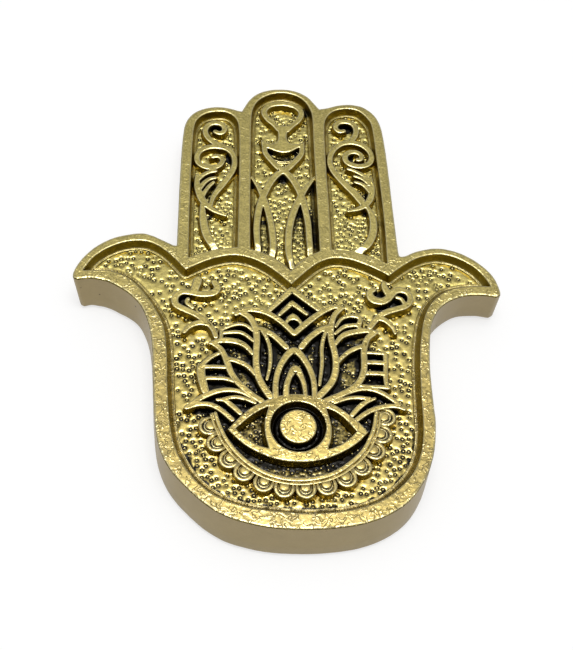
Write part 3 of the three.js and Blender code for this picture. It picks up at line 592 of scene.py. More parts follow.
dulled = ranged(aged_gold, black, 0, 1, taken.outputs["Gloss"], 0.4)
grain = noise_at(aged_gold, place, 2300, 3)
coarse = ranged(aged_gold, along, 0.018, -0.012, 0.8, 0.15)
relief = maths(aged_gold, "MULTIPLY_ADD", grain, coarse, crumpled)
for label, value in (("Color", washed), ("Roughness", dulled), ("Lacquer", clear), ("Height", relief)):
    aged_gold.links.new(value, given.inputs[label])


def antique_gold(name, bright, dull, gloss, crumple, dents):
    """Gold paint with the black wash, the painted shade and the painted highlights that the pieces'
    attributes place.
    """
    material, tree = new_material(name)
    wash = add_node(tree, "Attribute", attribute_name="wash").outputs["Fac"]
    painted_light = add_node(tree, "Attribute", attribute_name="painted_light").outputs["Fac"]
    aged = add_node(tree, "Group", {"Bright": bright, "Dull": dull, "Wash": wash, "Painted Light": painted_light,
                                    "Crumple": crumple, "Dents": dents, "Gloss": gloss}, node_tree=aged_gold)
    bump = add_node(tree, "Bump", {"Height": aged.outputs["Height"], "Strength": 0.6, "Distance": 0.0001})
    skin = add_node(tree, "BsdfPrincipled", {"Base Color": aged.outputs["Color"], "Metallic": 1,
                                             "Roughness": aged.outputs["Roughness"],
                                             "Coat Weight": aged.outputs["Lacquer"], "Coat Roughness": 0.16,
                                             "Coat IOR": 2.2, "Coat Normal": bump.outputs[0],
                                             "Normal": bump.outputs[0]})
    add_node(tree, "OutputMaterial", {"Surface": skin.outputs[0]})
    return material


def scattered(outline, gap, tries, chance):
    """Random places in the outline's box, each at least the gap from the others."""
    xs = [point.x for point in outline]
    ys = [point.y for point in outline]
    cells = {}
    found = []
    count = int((max(xs) - min(xs)) * (max(ys) - min(ys)) * tries)
    for _ in range(count):
        place = Vector((chance.uniform(min(xs), max(xs)), chance.uniform(min(ys), max(ys))))
        cell = (int(place.x // gap), int(place.y // gap))
        near = (cells.get((cell[0] + i, cell[1] + j)) for i in (-1, 0, 1) for j in (-1, 0, 1))
        if all(other is None or (other - place).length >= gap for other in near):
            cells[cell] = place
            found.append(place)
    return found


def points_off_edges(outlines, gap, clear, seed):
    """Scattered points for a flat top that keep clear of its edges."""
    edges = nearest_of([point for outline in outlines for point in outline])
    places = scattered(outlines[0], gap, 6 / gap ** 2, random.Random(seed))
    return [Vector((*place, WIDE_ROOM)) for place in places if away_from(edges, place) > clear]


rim_gold = antique_gold("rim_gold", (0.56, 0.445, 0.066, 1), (0.36, 0.278, 0.013, 1), 0.34, 1.0, 0.3)
fields = {name: drawn_outline(drawing) for name, drawing in (
    ("left_finger", LEFT_FINGER_FIELD), ("middle_finger", MIDDLE_FINGER_FIELD),
    ("right_finger", RIGHT_FINGER_FIELD), ("palm", PALM_FIELD))}
rim_points = points_off_edges([hand_outline, *fields.values()], RIM_POINT_GAP, RIM_POINT_CLEAR, 11)
bm = flat_region([hand_outline], fields.values(), rim_points)
on_edge = nearest_of(hand_outline)
top_faces = list(bm.faces)
for vert in bm.verts:
    vert.co.z = RIM_TOP
edges = open_edges(bm)
outer = [edge for edge in edges if max(away_from(on_edge, vert.co) for vert in edge.verts) < ON_LINE]
inner = [edge for edge in edges if max(away_from(on_edge, vert.co) for vert in edge.verts) >= ON_LINE]
rolled = roll_edge(bm, outer, RIM_OUTER) + roll_edge(bm, inner, RIM_INNER)
palm_edge = nearest_of(fields["palm"])
home = bm.verts.layers.float_vector["home"]
lean = bm.verts.layers.float_vector["lean"]
for vert in bm.verts:
    start = vert[home]
    across = away_from(on_edge, vert.co) - RIM_HALF
    share = (vert.co.z - SEAM) / (RIM_TOP - SEAM)
    vert.co.z += TOP_FALL * across * share * ease(-50, -62, start.y) * ease(32, 12, start.x)
    if away_from(on_edge, start) < ON_LINE:
        lean_side(vert.co)
    elif vert[lean].length > 0:
        drop = min(max((SIDE_TOP - vert.co.z) / (SIDE_TOP - GROUND), 0), 1)
        slant = PALM_SLANT if away_from(palm_edge, start) < ON_LINE else FINGER_SLANT
        vert.co += vert[lean] * drop * slant * (1 + SLANT_TURN * vert[lean].y)
close_below(bm, top_faces, rolled)
for face in bm.faces:
    middle = face.calc_center_median()
    on_side = away_from(on_edge, middle) < 0.5 and middle.z < RIM_TOP - 0.5
    face.material_index = 1 if on_side else 0
add_piece("raised_rim", bm, rim_gold, "antique_gold", "rim_frame", second=cast_side)

# The left finger's plant: two spirals on one stem, a comb of leaves, a sickle and a lower stem.
# It is part of the casting, about as high as the rim, with painted highlights of pale gold along its edges.
BAND_STEP = 0.35
STROKE_SPREAD = 0.35  # how much wider a stroke is at its shoulder than along its rubbed top
FOOT_DROP = 0.36  # how much of its height a stem loses where it meets the rim below
FINGER_HEIGHT = 2.05
LEFT_FINGER_STROKES = (
    (((-20.9, 55.8), (-19.9, 55.3), (-18.7, 55.6), (-18.1, 56.9), (-18.9, 58.5), (-20.8, 59.1),
      (-22.7, 58.4), (-23.8, 56.6), (-23.6, 54.5), (-22.3, 52.6), (-20.4, 51.2), (-18.6, 50.3)),
      (1.1, 1.4, 1.4, 1.4)),
    (((-21.6, 46.5), (-20.2, 46.8), (-19.1, 46.2), (-18.7, 45), (-19.6, 43.4), (-21.6, 42.5), (-24, 42.8),
      (-25.8, 44.3), (-26.2, 46.4), (-25.3, 48.4), (-23.2, 49.8), (-20.5, 50.2), (-17.8, 49.7),
      (-15.9, 48.1), (-15.1, 45.6), (-15.4, 42.6), (-17, 39.2), (-19.6, 35), (-21.3, 31.9), (-22, 28.8)),
     (1, 1.4, 1.4, 1.3, 1.4, 1.6, 0.8)),
    (((-20.6, 41.3), (-22.4, 40.9), (-24.2, 39.8), (-25.6, 38.2)), (0.8, 1, 1)),
    (((-20.7, 38.9), (-22.3, 38.4), (-23.8, 37.1), (-25.2, 35)), (0.7, 1, 1.2)),
    (((-21.2, 37.2), (-22.4, 35.9), (-23.5, 34.1), (-24.6, 31.8)), (0.7, 0.9, 1.1)),
    (((-26, 39.5), (-26, 36.5), (-25.4, 33.4), (-24.3, 30.7), (-22.6, 28.5), (-20.4, 26.8), (-17.7, 25.6)),
     (1, 1.7, 1.9, 1.2, 0.4)),
    (((-24.4, 29.2), (-24.2, 25.4), (-23.6, 21), (-22.6, 17.8), (-21.3, 15.4), (-20.2, 13.8)),
     (1, 2, 2.2, 1.8)),
)
laid = []  # places that the ornament covers, for the wash


def share_of_length(line):
    """How far along the line each of its points is, from 0 to 1."""
    reached = [0]
    for here, there in zip(line, line[1:]):
        reached.append(reached[-1] + (there - here).length)
    return [length / reached[-1] for length in reached]


def width_along(widths, share):
    """The width there, from widths at even shares of the length."""
    place = share * (len(widths) - 1)
    before = min(int(place), len(widths) - 2)
    return widths[before] + (widths[before + 1] - widths[before]) * (place - before)


def band(points, widths):
    """The outline of a band with round ends along a smooth line, and points along its middle.

    The third number of the outline is half the band's width.
    """
    line = smooth_line(points, BAND_STEP)
    last = len(line) - 1
    right = []
    left = []
    tips = []
    for index, (middle, share) in enumerate(zip(line, share_of_length(line))):
        along = (line[min(index + 1, last)] - line[max(index - 1, 0)]).normalized()
        across = Vector((-along.y, along.x))
        half = (width_along(widths, share) + STROKE_SPREAD) / 2
        right.append(Vector((*(middle - across * half), half)))
        left.append(Vector((*(middle + across * half), half)))
        if index in (0, last):
            spread = (-45, 0, 45) if index else (135, 180, 225)
            turns = (math.radians(angle) for angle in spread)
            tips.append([Vector((*(middle + (along * math.cos(turn) + across * math.sin(turn)) * half), half))
                         for turn in turns])
    laid.extend(line)
    return [*right, *tips[1], *reversed(left), *tips[0]], [Vector((*point, 1)) for point in line[1:-1:2]]


def relief_edge(height, lean):
    """How the edge of the ornament rounds over and leans out to its foot below the ground."""
    top = GROUND + height
    return ((-0.46, top), (-0.4, top), (-0.27, top - 0.04), (-0.13, top - 0.09), (-0.03, top - 0.18),
            (0, top - 0.34), (0.45 * lean, GROUND + 0.5 * height), (0.85 * lean, GROUND + 0.35),
            (lean, GROUND + 0.12), (lean + 0.16, GROUND - 0.1), (lean + 0.16, GROUND - 0.3))


def raised(outlines, height, holes=(), inside=(), lean=0.4):
    """A closed bmesh of ornament that stands on the ground."""
    bm = flat_region(outlines, holes, inside)
    top_faces = list(bm.faces)
    for vert in bm.verts:
        vert.co.z = GROUND + height
    close_below(bm, top_faces, roll_edge(bm, open_edges(bm), relief_edge(height, lean)))
    return bm


def strip(points, widths, height):
    """One raised band."""
    outline, middle = band(points, widths)
    return raised([outline], height, inside=middle)


def add_ornament(name, strokes, height, node, foot=None, plates=()):
    """Ornament made of bands and plates, in place of its node. Near the foot's points it slopes down."""
    outlines = [drawn_outline(plate, BAND_STEP) for plate in plates]
    middles = []
    for points, widths in strokes:
        outline, middle = band(points, widths)
        outlines.append(outline)
        middles.extend(middle)
    bm = raised(outlines, height, inside=middles)
    if foot:
        for vert in bm.verts:
            lift = vert.co.z - GROUND
            if lift > 0:
                close = 1 - ease(0.7, 2.6, away_from(foot, vert.co))
                vert.co.z -= lift * FOOT_DROP * close
    add_piece(name, bm, relief_gold, "antique_gold", node)


FINGER_FOOT = nearest_of([point for name in ("left_finger", "middle_finger", "right_finger")
                          for point in fields[name] if point.y < 14.4 and abs(point.x) < 27])
relief_gold = antique_gold("relief_gold", (0.64, 0.515, 0.08, 1), (0.42, 0.325, 0.016, 1), 0.3, 0.3, 0.8)
add_ornament("left_finger_plant", LEFT_FINGER_STROKES, FINGER_HEIGHT, "left_finger_scroll", FINGER_FOOT)

# The right finger's plant: the same growth facing the other way.
# It is cast as the left one is and has the same painted highlights, with its upper spiral tight against the
# rim.
RIGHT_FINGER_STROKES = (
    (((17.5, 57.6), (16.3, 57.4), (15.2, 58.2), (15.1, 59.6), (16.2, 60.9), (18.1, 61.2), (19.9, 60.6),
      (21, 59), (21.1, 57), (20.3, 55.1), (18.9, 53.4)), (1, 1.4, 1.4, 1.4)),
    (((21.2, 47.1), (22.2, 47.3), (22.3, 48.8), (21, 49.8), (19.3, 49.8), (17.9, 48.9), (17.5, 47.3),
      (18.3, 45.8), (20, 44.9), (22, 44.7), (24, 45.3), (25.2, 46.8), (25.4, 48.8), (24.5, 50.9),
      (22.7, 52.5), (20.4, 53.3), (18.1, 53.2), (15.9, 52.2), (14.1, 50.3), (13.1, 47.9), (13, 45.3),
      (13.8, 42.9), (15.2, 40.6), (17, 38.2), (19.6, 34.9), (22, 31.3)),
      (1, 1.4, 1.4, 1.4, 1.3, 1.4, 1.7, 1.5)),
    (((18.2, 43.6), (20, 43), (22, 41.9), (23.8, 40.4), (24.7, 38.9)), (0.6, 0.9, 1)),
    (((20, 41), (21.4, 40.6), (22.8, 39.8), (24.3, 38.2)), (0.5, 0.8, 1)),
    (((20.2, 38.9), (21.8, 38.4), (23.2, 37.4), (24.5, 35.5)), (0.6, 1, 1.1)),
    (((18.2, 37.4), (19.6, 36.2), (21, 34.5), (22.4, 32.4)), (0.5, 0.6, 0.7)),
    (((24.8, 40.6), (25.1, 37.4), (24.8, 34.3), (23.9, 32), (22.4, 30.3), (20.3, 29.1), (17.8, 28.4)),
     (0.9, 1.5, 1.7, 1.3, 0.4)),
    (((23.3, 30.4), (24.6, 27.4), (25, 24), (24.6, 20.5), (23.4, 17.6), (21.7, 15.6), (20, 14.4)),
     (0.9, 1.8, 2, 2, 1.8)),
)
add_ornament("right_finger_plant", RIGHT_FINGER_STROKES, FINGER_HEIGHT, "right_finger_scroll", FINGER_FOOT)

# The middle finger's ornament: a drop-shaped loop on a neck, a cup with a crescent cut into it,
# and two pairs of long leaves that cross below. Cast in one with the ground.
MIDDLE_FINGER_STROKES = (
    (((-2.2, 57.2), (-3.4, 59.1), (-5.3, 61.2), (-6.4, 63.7), (-5.2, 66), (-2.7, 67), (0.4, 67.1),
      (3.3, 66.1), (4.8, 64), (4.1, 61.4), (2.1, 59), (0.6, 57)), (1, 1.4, 1.5, 1.4, 1.5, 1.4, 1)),
    (((-6.2, 51.6), (-6.3, 50), (-6.1, 48.6), (-5.2, 47), (-3.8, 45.1), (-2.4, 43.4), (-0.9, 42.2),
      (0.4, 41.1), (1.8, 39.1), (3.1, 36.6), (4.2, 33.6), (5, 30.4), (5.6, 27), (6.1, 23), (6.3, 18),
      (6.6, 13.2)),
     (1.2, 1.5, 1.7, 1.7, 1.5, 1.5)),
    (((4.7, 52), (4.8, 50), (4.6, 48.6), (3.7, 47), (2.3, 45.2), (0.9, 43.5), (-0.7, 42.2), (-2.2, 41.2),
      (-3.8, 39.3), (-5.2, 36.8), (-6.6, 33.4), (-7.8, 29.6), (-8.5, 25.4), (-8.8, 20.5), (-8.4, 13.8)),
     (1.2, 1.5, 1.7, 1.7, 1.6, 1.5)),
    (((-10.2, 39.4), (-9, 37.5), (-7.6, 34.6), (-6.5, 31.5), (-5.5, 27.8), (-4.7, 23.6), (-4.2, 19),
      (-4.1, 15), (-4.7, 11.6)), (0.4, 1.5, 1.6, 1.7, 1.6)),
    (((8.6, 40.4), (6.9, 38), (5.2, 35.3), (3.8, 32.4), (2.5, 29.2), (1.4, 25.6), (0.6, 21.4), (0.3, 17),
      (0.4, 13), (1.2, 9)), (0.5, 1.6, 1.7, 1.7, 1.5)),
)
CUP = (
    (-3.6, 59),
    ((-2.4, 56.6), (-2.2, 54.6), (-2.4, 53.2), (-3.2, 52.3), (-4.6, 52), (-6.2, 52.6), (-7.6, 54.2)),
    ((-7.3, 52.2), (-7.1, 50.4)),
    ((-5.4, 50.2),),
    ((-4, 49.6), (-2.5, 49), (-0.7, 48.7), (1.2, 49.1), (2.8, 50.1), (3.9, 50.8)),
    ((5.5, 50.8), (5.6, 52.4), (5.9, 54.2)),
    ((4.8, 52.8), (3.6, 52.2), (2.2, 52.1), (1, 52.6), (0.4, 53.8), (0.4, 55.6), (1.1, 57.6), (2.2, 59.2)),
    ((-0.8, 58.8), (-3.6, 59)),
)
SLOT_LIP = ((-4.6, 47.6), (-2.8, 46.7), (-0.8, 46.3), (1.3, 46.7), (3.1, 47.5))
add_ornament("middle_finger_loop", MIDDLE_FINGER_STROKES, FINGER_HEIGHT, "middle_finger_motif", FINGER_FOOT,
             [CUP])
add_piece("slot_lip", strip(SLOT_LIP, (0.05, 0.05), 0.75), relief_gold, "antique_gold")

# Palm scrolls either side of the chevrons: a bowl that turns into a hook, a prong, a curl and a forked tail.
# They are the same gold relief, tucked under the lotus leaves at their lower ends.
PALM_HEIGHT = 2.26
LEFT_PALM_STROKES = (
    (((-20.7, 2.6), (-20, 1.6), (-19.9, 0.3), (-20.9, -0.8), (-22.7, -1.3), (-25, -1.4), (-27.4, -0.9),
      (-29.7, -0.9), (-31.2, -2.1), (-31.6, -3.9), (-30.8, -5.4), (-28.6, -6.6), (-26, -7.9), (-23.8, -9.5),
      (-22, -11.2), (-20.8, -12.9), (-20.1, -15)), (1.5, 1.9, 1.6, 1.5, 1.7, 1.6, 1.5, 1.3, 1.2)),
    (((-25.3, 3.3), (-25.5, 2.2), (-25.9, 1), (-26.3, -0.6)), (2.1, 2.1, 1.9)),
    (((-26.6, -5.8), (-27.9, -4.8), (-28.3, -3.9), (-27.9, -3.2)), (0.9, 0.9)),
    (((-22.4, -11), (-24.4, -10.7), (-26.4, -11.3), (-27.9, -12.5), (-28.8, -13.8)), (1.4, 1.4, 0.9)),
)
RIGHT_PALM_STROKES = (
    (((24.2, 1.6), (23.3, 1.1), (22.9, 0), (23.4, -1.3), (24.7, -2.1), (26.4, -2.2), (27.9, -1.3), (28.9, 0),
      (30, 1.2), (31.6, 1.7), (33.3, 1.1), (34.2, -0.4), (34.1, -2.2), (32.7, -3.7), (30.4, -4.6),
      (27.9, -5.5), (25.8, -6.7), (24.2, -8.4), (22.5, -10.8)),
      (1.2, 2.2, 1.9, 1.8, 1.3, 1.5, 1.6, 1.5, 1.4)),
    (((27.1, 3.9), (27.1, 2.9), (27.6, 1.5), (28.4, 0)), (1.2, 1.7, 1.8)),
    (((32.9, -3.5), (32.2, -2), (31.5, -1.1), (30.5, -0.8)), (0.9, 0.8)),
    (((24.9, -7.8), (26.5, -8.2), (28, -9.4), (29, -11), (29.5, -12.5)), (1.4, 1.3, 0.6)),
)
add_ornament("left_palm_curl", LEFT_PALM_STROKES, PALM_HEIGHT, "left_palm_scroll")
add_ornament("right_palm_curl", RIGHT_PALM_STROKES, PALM_HEIGHT, "right_palm_scroll")

# The lotus over the eye: two large petals that meet under the bore, a centre petal round a bud, leaves
# outside them, ladders of short bars and a wing on each side. It is cast in one with the ground, and each
# part stands a little lower than the one that it meets.
LEFT_PETAL = (
    (((1.2, -13.4), (-0.5, -11.5), (-2.4, -9.6), (-4.8, -7.8), (-7.6, -6.5), (-10.6, -6.1), (-13.2, -6.7),
      (-14.6, -7.7)), (1.3, 1.3, 1.4, 1.5, 1.2)),
    (((-13, -7.2), (-11, -8.6), (-9.8, -10.6), (-9.1, -13), (-8.9, -16), (-9.1, -20), (-9.1, -23.5),
      (-8.6, -27), (-7.4, -30), (-5.4, -33.4)), (1.5, 1.6, 1.5, 1.6, 1.7)),
    (((-9, -12.3), (-7.2, -12.6), (-4.6, -14.1), (-2.6, -16), (-0.8, -18)), (1.2, 1.4, 1.4)),
    (((-7.4, -12.9), (-6.2, -15.2), (-5.4, -18), (-5.2, -21), (-5.4, -24.3), (-6.2, -28.2)),
     (0.7, 0.8, 0.8, 0.5)),
)
RIGHT_PETAL = (
    (((1.4, -13.6), (3.3, -11.7), (5.4, -9.6), (7.9, -7.4), (10.6, -5.5), (13.2, -4.5), (15.2, -4.9)),
     (1.3, 1.5, 1.5, 1.3, 0.8)),
    (((14.6, -5.1), (12.9, -7), (12, -9.4), (11.5, -12.6), (11.7, -15.8), (12.4, -19), (12.7, -22.4),
      (12.3, -26), (10.9, -29.3), (7.6, -33.2)), (1.1, 1.5, 1.5, 1.6, 1.7)),
    (((11.6, -11.1), (9, -12), (6.6, -13.8), (4.8, -15.7), (3.3, -17.8)), (1.4, 1.5, 1.5)),
    (((10.2, -12.6), (9.3, -15.6), (8.9, -18.5), (8.9, -22), (8.6, -25.4), (8, -29.6)),
      (0.7, 0.8, 0.8, 0.6)),
)
CENTRE_PETAL = (
    (((-3.9, -33.6), (-3.9, -30), (-3.5, -27), (-2.6, -24), (-1.2, -21.3), (0.1, -19.6), (1.35, -18.9),
      (2.7, -19.8), (4, -21.6), (5.3, -24.2), (6.2, -27), (6.6, -30), (6.6, -33.6)),
     (1.4, 1.3, 1.4, 1.8, 1.4, 1.3, 1.2)),
)
CENTRE_BUD = (
    (((-1.1, -33.4), (-0.9, -30), (-0.3, -27.8), (0.6, -25.8), (1.6, -24.7), (2.5, -25.8), (3.3, -27.6),
      (3.9, -29.8), (4.2, -33.4)), (1.5, 1.3, 1.2, 2.1, 1.2, 1, 0.9)),
)
LEFT_LEAF = (
    (((-21.6, -17.2), (-18.6, -16.3), (-15.6, -16.3), (-13.2, -17), (-11.5, -18.3), (-10.1, -20.2)),
     (0.9, 1.5, 1.4, 0.8)),
    (((-20.6, -17.4), (-18.9, -18.8), (-17.7, -21), (-16.9, -23.4), (-16, -26), (-14.6, -28.5),
      (-12.4, -31), (-10, -33.2), (-7.6, -34.9)), (1.2, 1.5, 1.5, 1.4)),
    (((-17, -22), (-14.6, -22.5), (-12.2, -23.6), (-10.6, -25), (-9.4, -26.6)), (1.2, 1.2, 0.9)),
    (((-18.6, -12.9), (-16.4, -11.7), (-13.9, -10.9), (-11.8, -11.3), (-9.9, -12.9)), (0.7, 0.8, 0.7)),
    (((-18.4, -13.9), (-16, -13.6), (-13.8, -13.5), (-12, -14.3), (-9.8, -16.2)), (0.8, 0.9, 0.7)),
    (((-18.7, -12.8), (-18.6, -14.6), (-18.8, -16.6)), (0.7, 0.8)),
)
RIGHT_LEAF = (
    (((12.4, -17), (14.4, -14.2), (16.7, -12.9), (19.2, -12.3), (21.6, -12), (24.3, -12.5)),
     (0.8, 1.4, 1.5, 0.9)),
    (((23.4, -12.9), (21.8, -14.3), (20.9, -16.5), (20.5, -19), (20.5, -22), (20.2, -25.2), (18.9, -28.2),
      (16.5, -30.7), (13.4, -32.5), (9.4, -34.4)), (1.4, 1.5, 1.5, 1.5, 1.4)),
    (((20.6, -16.9), (18.2, -17.8), (16, -19.2), (14.2, -21), (12.8, -22.8)), (1.2, 1.1, 0.8)),
    (((13, -10.9), (14.6, -8.5), (17, -7.4), (19.3, -7.6), (19.9, -8.8), (19.2, -10.4)), (0.6, 0.8, 1.3)),
    (((12.8, -13.2), (15.2, -11), (17.4, -10.4), (19.6, -10.2)), (0.7, 1, 0.9)),
    (((19.2, -10.2), (19.6, -11.4), (19.6, -12.5)), (0.9, 0.9)),
)
LEFT_LADDER = (
    (((-24, -24.6), (-24, -26.6), (-23.6, -29), (-22.8, -32)), (2.1, 1.9)),
    (((-24, -24.3), (-22, -22.1), (-20.2, -20.8), (-18.2, -19.8)), (1.1, 0.8)),
    (((-23.6, -24.6), (-20.2, -24.5), (-16.6, -24.6)), (1, 0.9)),
    (((-23.5, -28.1), (-20, -28), (-17.6, -28.1), (-14.6, -29)), (1, 0.9)),
)
RIGHT_LADDER = (
    (((26.4, -19.2), (26.4, -22), (26.2, -25), (26.2, -27.6), (26.5, -29.8)), (1, 1)),
    (((20.6, -18.9), (23.6, -19), (26.4, -19.2)), (0.7, 0.7)),
    (((20.6, -22), (23.4, -22), (26.4, -22.1)), (1.1, 1.1)),
    (((20.4, -25.4), (23.4, -25.4), (26.4, -25.5)), (1.1, 1.1)),
    (((18, -29.2), (21.6, -29.6), (24.4, -29.6), (26.8, -29.8)), (0.7, 1)),
)
LEFT_WING = (
    (((-9.4, -34.2), (-13, -32.2), (-16.4, -31.6), (-19.6, -32.1), (-22.6, -33.4), (-25.4, -35.3),
      (-27.8, -37.3)), (0.9, 1.1, 1.4, 1)),
    (((-27.6, -37.3), (-24.6, -36.2), (-22, -36.1), (-19.8, -36.9), (-17.8, -38.4), (-15.5, -40.6)),
     (0.9, 1.2, 1.1)),
    (((-19.6, -34.7), (-17.6, -34.9), (-15.6, -36.4), (-13.4, -38.6)), (0.6, 1.2, 1.1)),
    (((-18, -34.5), (-15, -33.8), (-12.2, -34.2), (-9.4, -35.4)), (0.8, 0.9, 0.7)),
)
RIGHT_WING = (
    (((11.4, -34.3), (14.8, -32.1), (18, -30.7), (20.8, -30.3), (23.6, -30.9), (26.2, -32.3), (28.6, -34.2),
      (30.8, -36.3)), (0.9, 1.1, 1.1, 0.9)),
    (((30.6, -36.2), (28.6, -35.5), (25.8, -35.6), (23, -36.4), (20.5, -37.7), (17.6, -40)),
      (0.9, 1.2, 1.1)),
    (((22.9, -33.3), (20.6, -34.4), (18.7, -35.9), (16.6, -38.4)), (0.6, 1.2, 1.1)),
    (((21.6, -33.4), (18.6, -33.1), (15.6, -33.4), (12, -34.8)), (0.8, 0.9, 0.7)),
)
for name, strokes, height, node in (
    ("left_petal", LEFT_PETAL, 2.45, "lotus_left_petal"),
    ("right_petal", RIGHT_PETAL, 2.43, "lotus_right_petal"),
    ("centre_petal", CENTRE_PETAL, 2.41, "lotus_centre_petal"),
    ("centre_bud", CENTRE_BUD, 2.39, "lotus_centre_bud"),
    ("left_leaf", LEFT_LEAF, 2.36, "lotus_left_leaf"),
    ("right_leaf", RIGHT_LEAF, 2.36, "lotus_right_leaf"),
    ("left_bars", LEFT_LADDER, 2.2, "lotus_left_ladder"),
    ("right_bars", RIGHT_LADDER, 2.2, "lotus_right_ladder"),
    ("left_feather", LEFT_WING, 2.3, "lotus_left_wing"),
    ("right_feather", RIGHT_WING, 2.3, "lotus_right_wing"),
):
    add_ornament(name, strokes, height, node)

# Three nested chevrons over the stick bore, of plain straight bars.
# Their feet run into the petals, and the gaps between them are filled with black.
CHEVRON_X = 1.0
CHEVRON_HEIGHT = 2.34
LEFT_SLOPE = 1.1
RIGHT_SLOPE = 0.88
for name, top, reach, widths, node in (("large_chevron", 0.85, 7.2, (1.6, 1.1), "chevron_outer"),
                                       ("medium_chevron", -3.6, 4.0, (1.3, 0.8), "chevron_middle")):
    bars = []
    for across, slope in ((-0.9 * reach, LEFT_SLOPE), (reach, RIGHT_SLOPE)):
        bars.append((((CHEVRON_X, top), (CHEVRON_X + across, top - abs(across) * slope)), widths))
    add_ornament(name, bars, CHEVRON_HEIGHT, node)
COLLAR = (
    (-2.2, -10.6),
    ((-1, -9.4), (-0.3, -8), (1.2, -6.9), (2.7, -7.9), (3.6, -9.3), (4.9, -10.4)),
    ((1.4, -13.9),),
    ((-2.2, -10.6),),
)
collar = drawn_outline(COLLAR, BAND_STEP)
mouth = circle(BORE_CENTRE, BORE_RADIUS + 0.06, BORE_STEPS)
ring_points = [Vector((*point.to_2d(), 1)) for point in circle(BORE_CENTRE, BORE_RADIUS + 0.75, BORE_STEPS)]
bm = raised([collar], 2.15, [mouth], ring_points, 0.1)
add_piece("small_chevron", bm, relief_gold, "antique_gold", "chevron_inner")

# The eye: an almond frame with a round iris recess and a window in each corner, and the disc of the pupil.
# It stands highest of the ornament, so its paint is rubbed most and shows fine cracks.
EYE_ALMOND = (
    (-16.8, -43.7),
    ((-12, -38.3), (-8, -35.4), (-4, -33.4), (0, -32.5), (3.4, -32.5), (7.2, -33.2), (11, -35), (15, -37.8),
     (18.5, -41), (20.7, -43.7)),
    ((18, -46.7), (14.6, -49.2), (10.6, -51.2), (6.4, -52.4), (2, -52.8), (-3, -52.3), (-8, -50.6),
     (-12.6, -47.9), (-16.8, -43.7)),
)
LEFT_EYE_WINDOW = (
    (-14.6, -43.4),
    ((-12, -40.9), (-9, -38.4), (-5.8, -36.5)),
    ((-6.9, -41), (-6.8, -45), (-5.9, -48.9)),
    ((-9, -48), (-12, -46), (-14.6, -43.4)),
)
RIGHT_EYE_WINDOW = (
    (17.6, -43.6),
    ((15, -46.2), (12.5, -47.9), (9.8, -48.9)),
    ((10.7, -46), (10.9, -42), (9.7, -36.7)),
    ((12.4, -38), (15, -40.3), (17.6, -43.6)),
)
EYE_CENTRE = (2.05, -42.35)
IRIS_RADIUS = 7.45
PUPIL_RADIUS = 4.9
LID_CURVE = 0.0035  # the lids fall off a little towards their long edges
PUPIL_SLOPE = 0.05  # and the pupil slopes towards the palm's end
LINE_RADIUS = 6.3  # a thin line cast into the floor of the iris
LINE_HALF = 0.16
EYE_STEP = 0.4
eye_gold = antique_gold("eye_gold", (0.64, 0.515, 0.085, 1), (0.48, 0.375, 0.024, 1), 0.3, 0.8, 0.5)
almond = drawn_outline(EYE_ALMOND, EYE_STEP)
windows = [drawn_outline(drawing, EYE_STEP) for drawing in (LEFT_EYE_WINDOW, RIGHT_EYE_WINDOW)]
iris = circle(EYE_CENTRE, IRIS_RADIUS, 72)
lid_points = points_off_edges([almond, *windows, iris], 0.8, 0.9, 12)
bm = raised([almond], 2.65, [*windows, iris], lid_points, 0.75)
for vert in bm.verts:
    if vert.co.z > GROUND + 1:
        vert.co.z -= LID_CURVE * (vert.co.y - EYE_CENTRE[1]) ** 2
add_piece("eye_lids", bm, eye_gold, "antique_gold", "eye_frame")
pupil_outline = circle(EYE_CENTRE, PUPIL_RADIUS, 56)
bm = raised([pupil_outline], 2.5, inside=points_off_edges([pupil_outline], 0.8, 1.0, 13))
for vert in bm.verts:
    if vert.co.z > GROUND + 1:
        vert.co.z += PUPIL_SLOPE * (vert.co.y - EYE_CENTRE[1])
add_piece("pupil_disc", bm, eye_gold, "antique_gold", "pupil")
line_outer = circle(EYE_CENTRE, LINE_RADIUS + LINE_HALF, 64)
line_inner = circle(EYE_CENTRE, LINE_RADIUS - LINE_HALF, 64)
add_piece("iris_line", raised([line_outer], 0.4, [line_inner]), relief_gold, "antique_gold")
laid.extend(point.to_2d() for point in (*almond, *windows[0], *windows[1], *iris, *pupil_outline))

# The crescent under the eye: a broad ridge towards the eye and a thin one outside, with a groove between.
# It is cast in one with the scallops that hang from it, and its gold has the same painted shade and
# highlights as theirs.
CRESCENT = ((-20.4, -39), (-19.4, -42.2), (-17.6, -46.4), (-15, -50.2), (-11.6, -53.6), (-7.4, -56.3),
            (-2.6, -57.9), (2.2, -58.3), (7, -57.7), (11.8, -56), (16, -53), (19.4, -49.4), (21.6, -45.3),
            (22.8, -41.8), (23.3, -38.8), (23.6, -37.7))


def beside(points, distance):
    """The drawn line moved sideways, to its right where the distance is positive."""
    moved = []
    last = len(points) - 1
    for index, point in enumerate(points):
        along = Vector(points[min(index + 1, last)]) - Vector(points[max(index - 1, 0)])
        along.normalize()
        moved.append((point[0] + along.y * distance, point[1] - along.x * distance))
    return moved


def join_shells(shells):
    """Several closed bmeshes as one."""
    whole = bmesh.new()
    for shell in shells:
        part = bpy.data.meshes.new("part")
        shell.to_mesh(part)
        shell.free()
        whole.from_mesh(part)
        bpy.data.meshes.remove(part)
    return whole


bm = join_shells((
    strip(beside(CRESCENT, 0.25), (1.1, 1.5, 1.5, 1.5, 1.1), 1.98),
    strip(beside(CRESCENT, -0.35), (0.7, 0.95, 0.95, 0.95, 0.7), 2.45),
    strip(beside(CRESCENT, 0.85), (0.3, 0.35, 0.35, 0.35, 0.3), 2.25),
))
add_piece("crescent_ridge", bm, relief_gold, "antique_gold", "crescent_band")

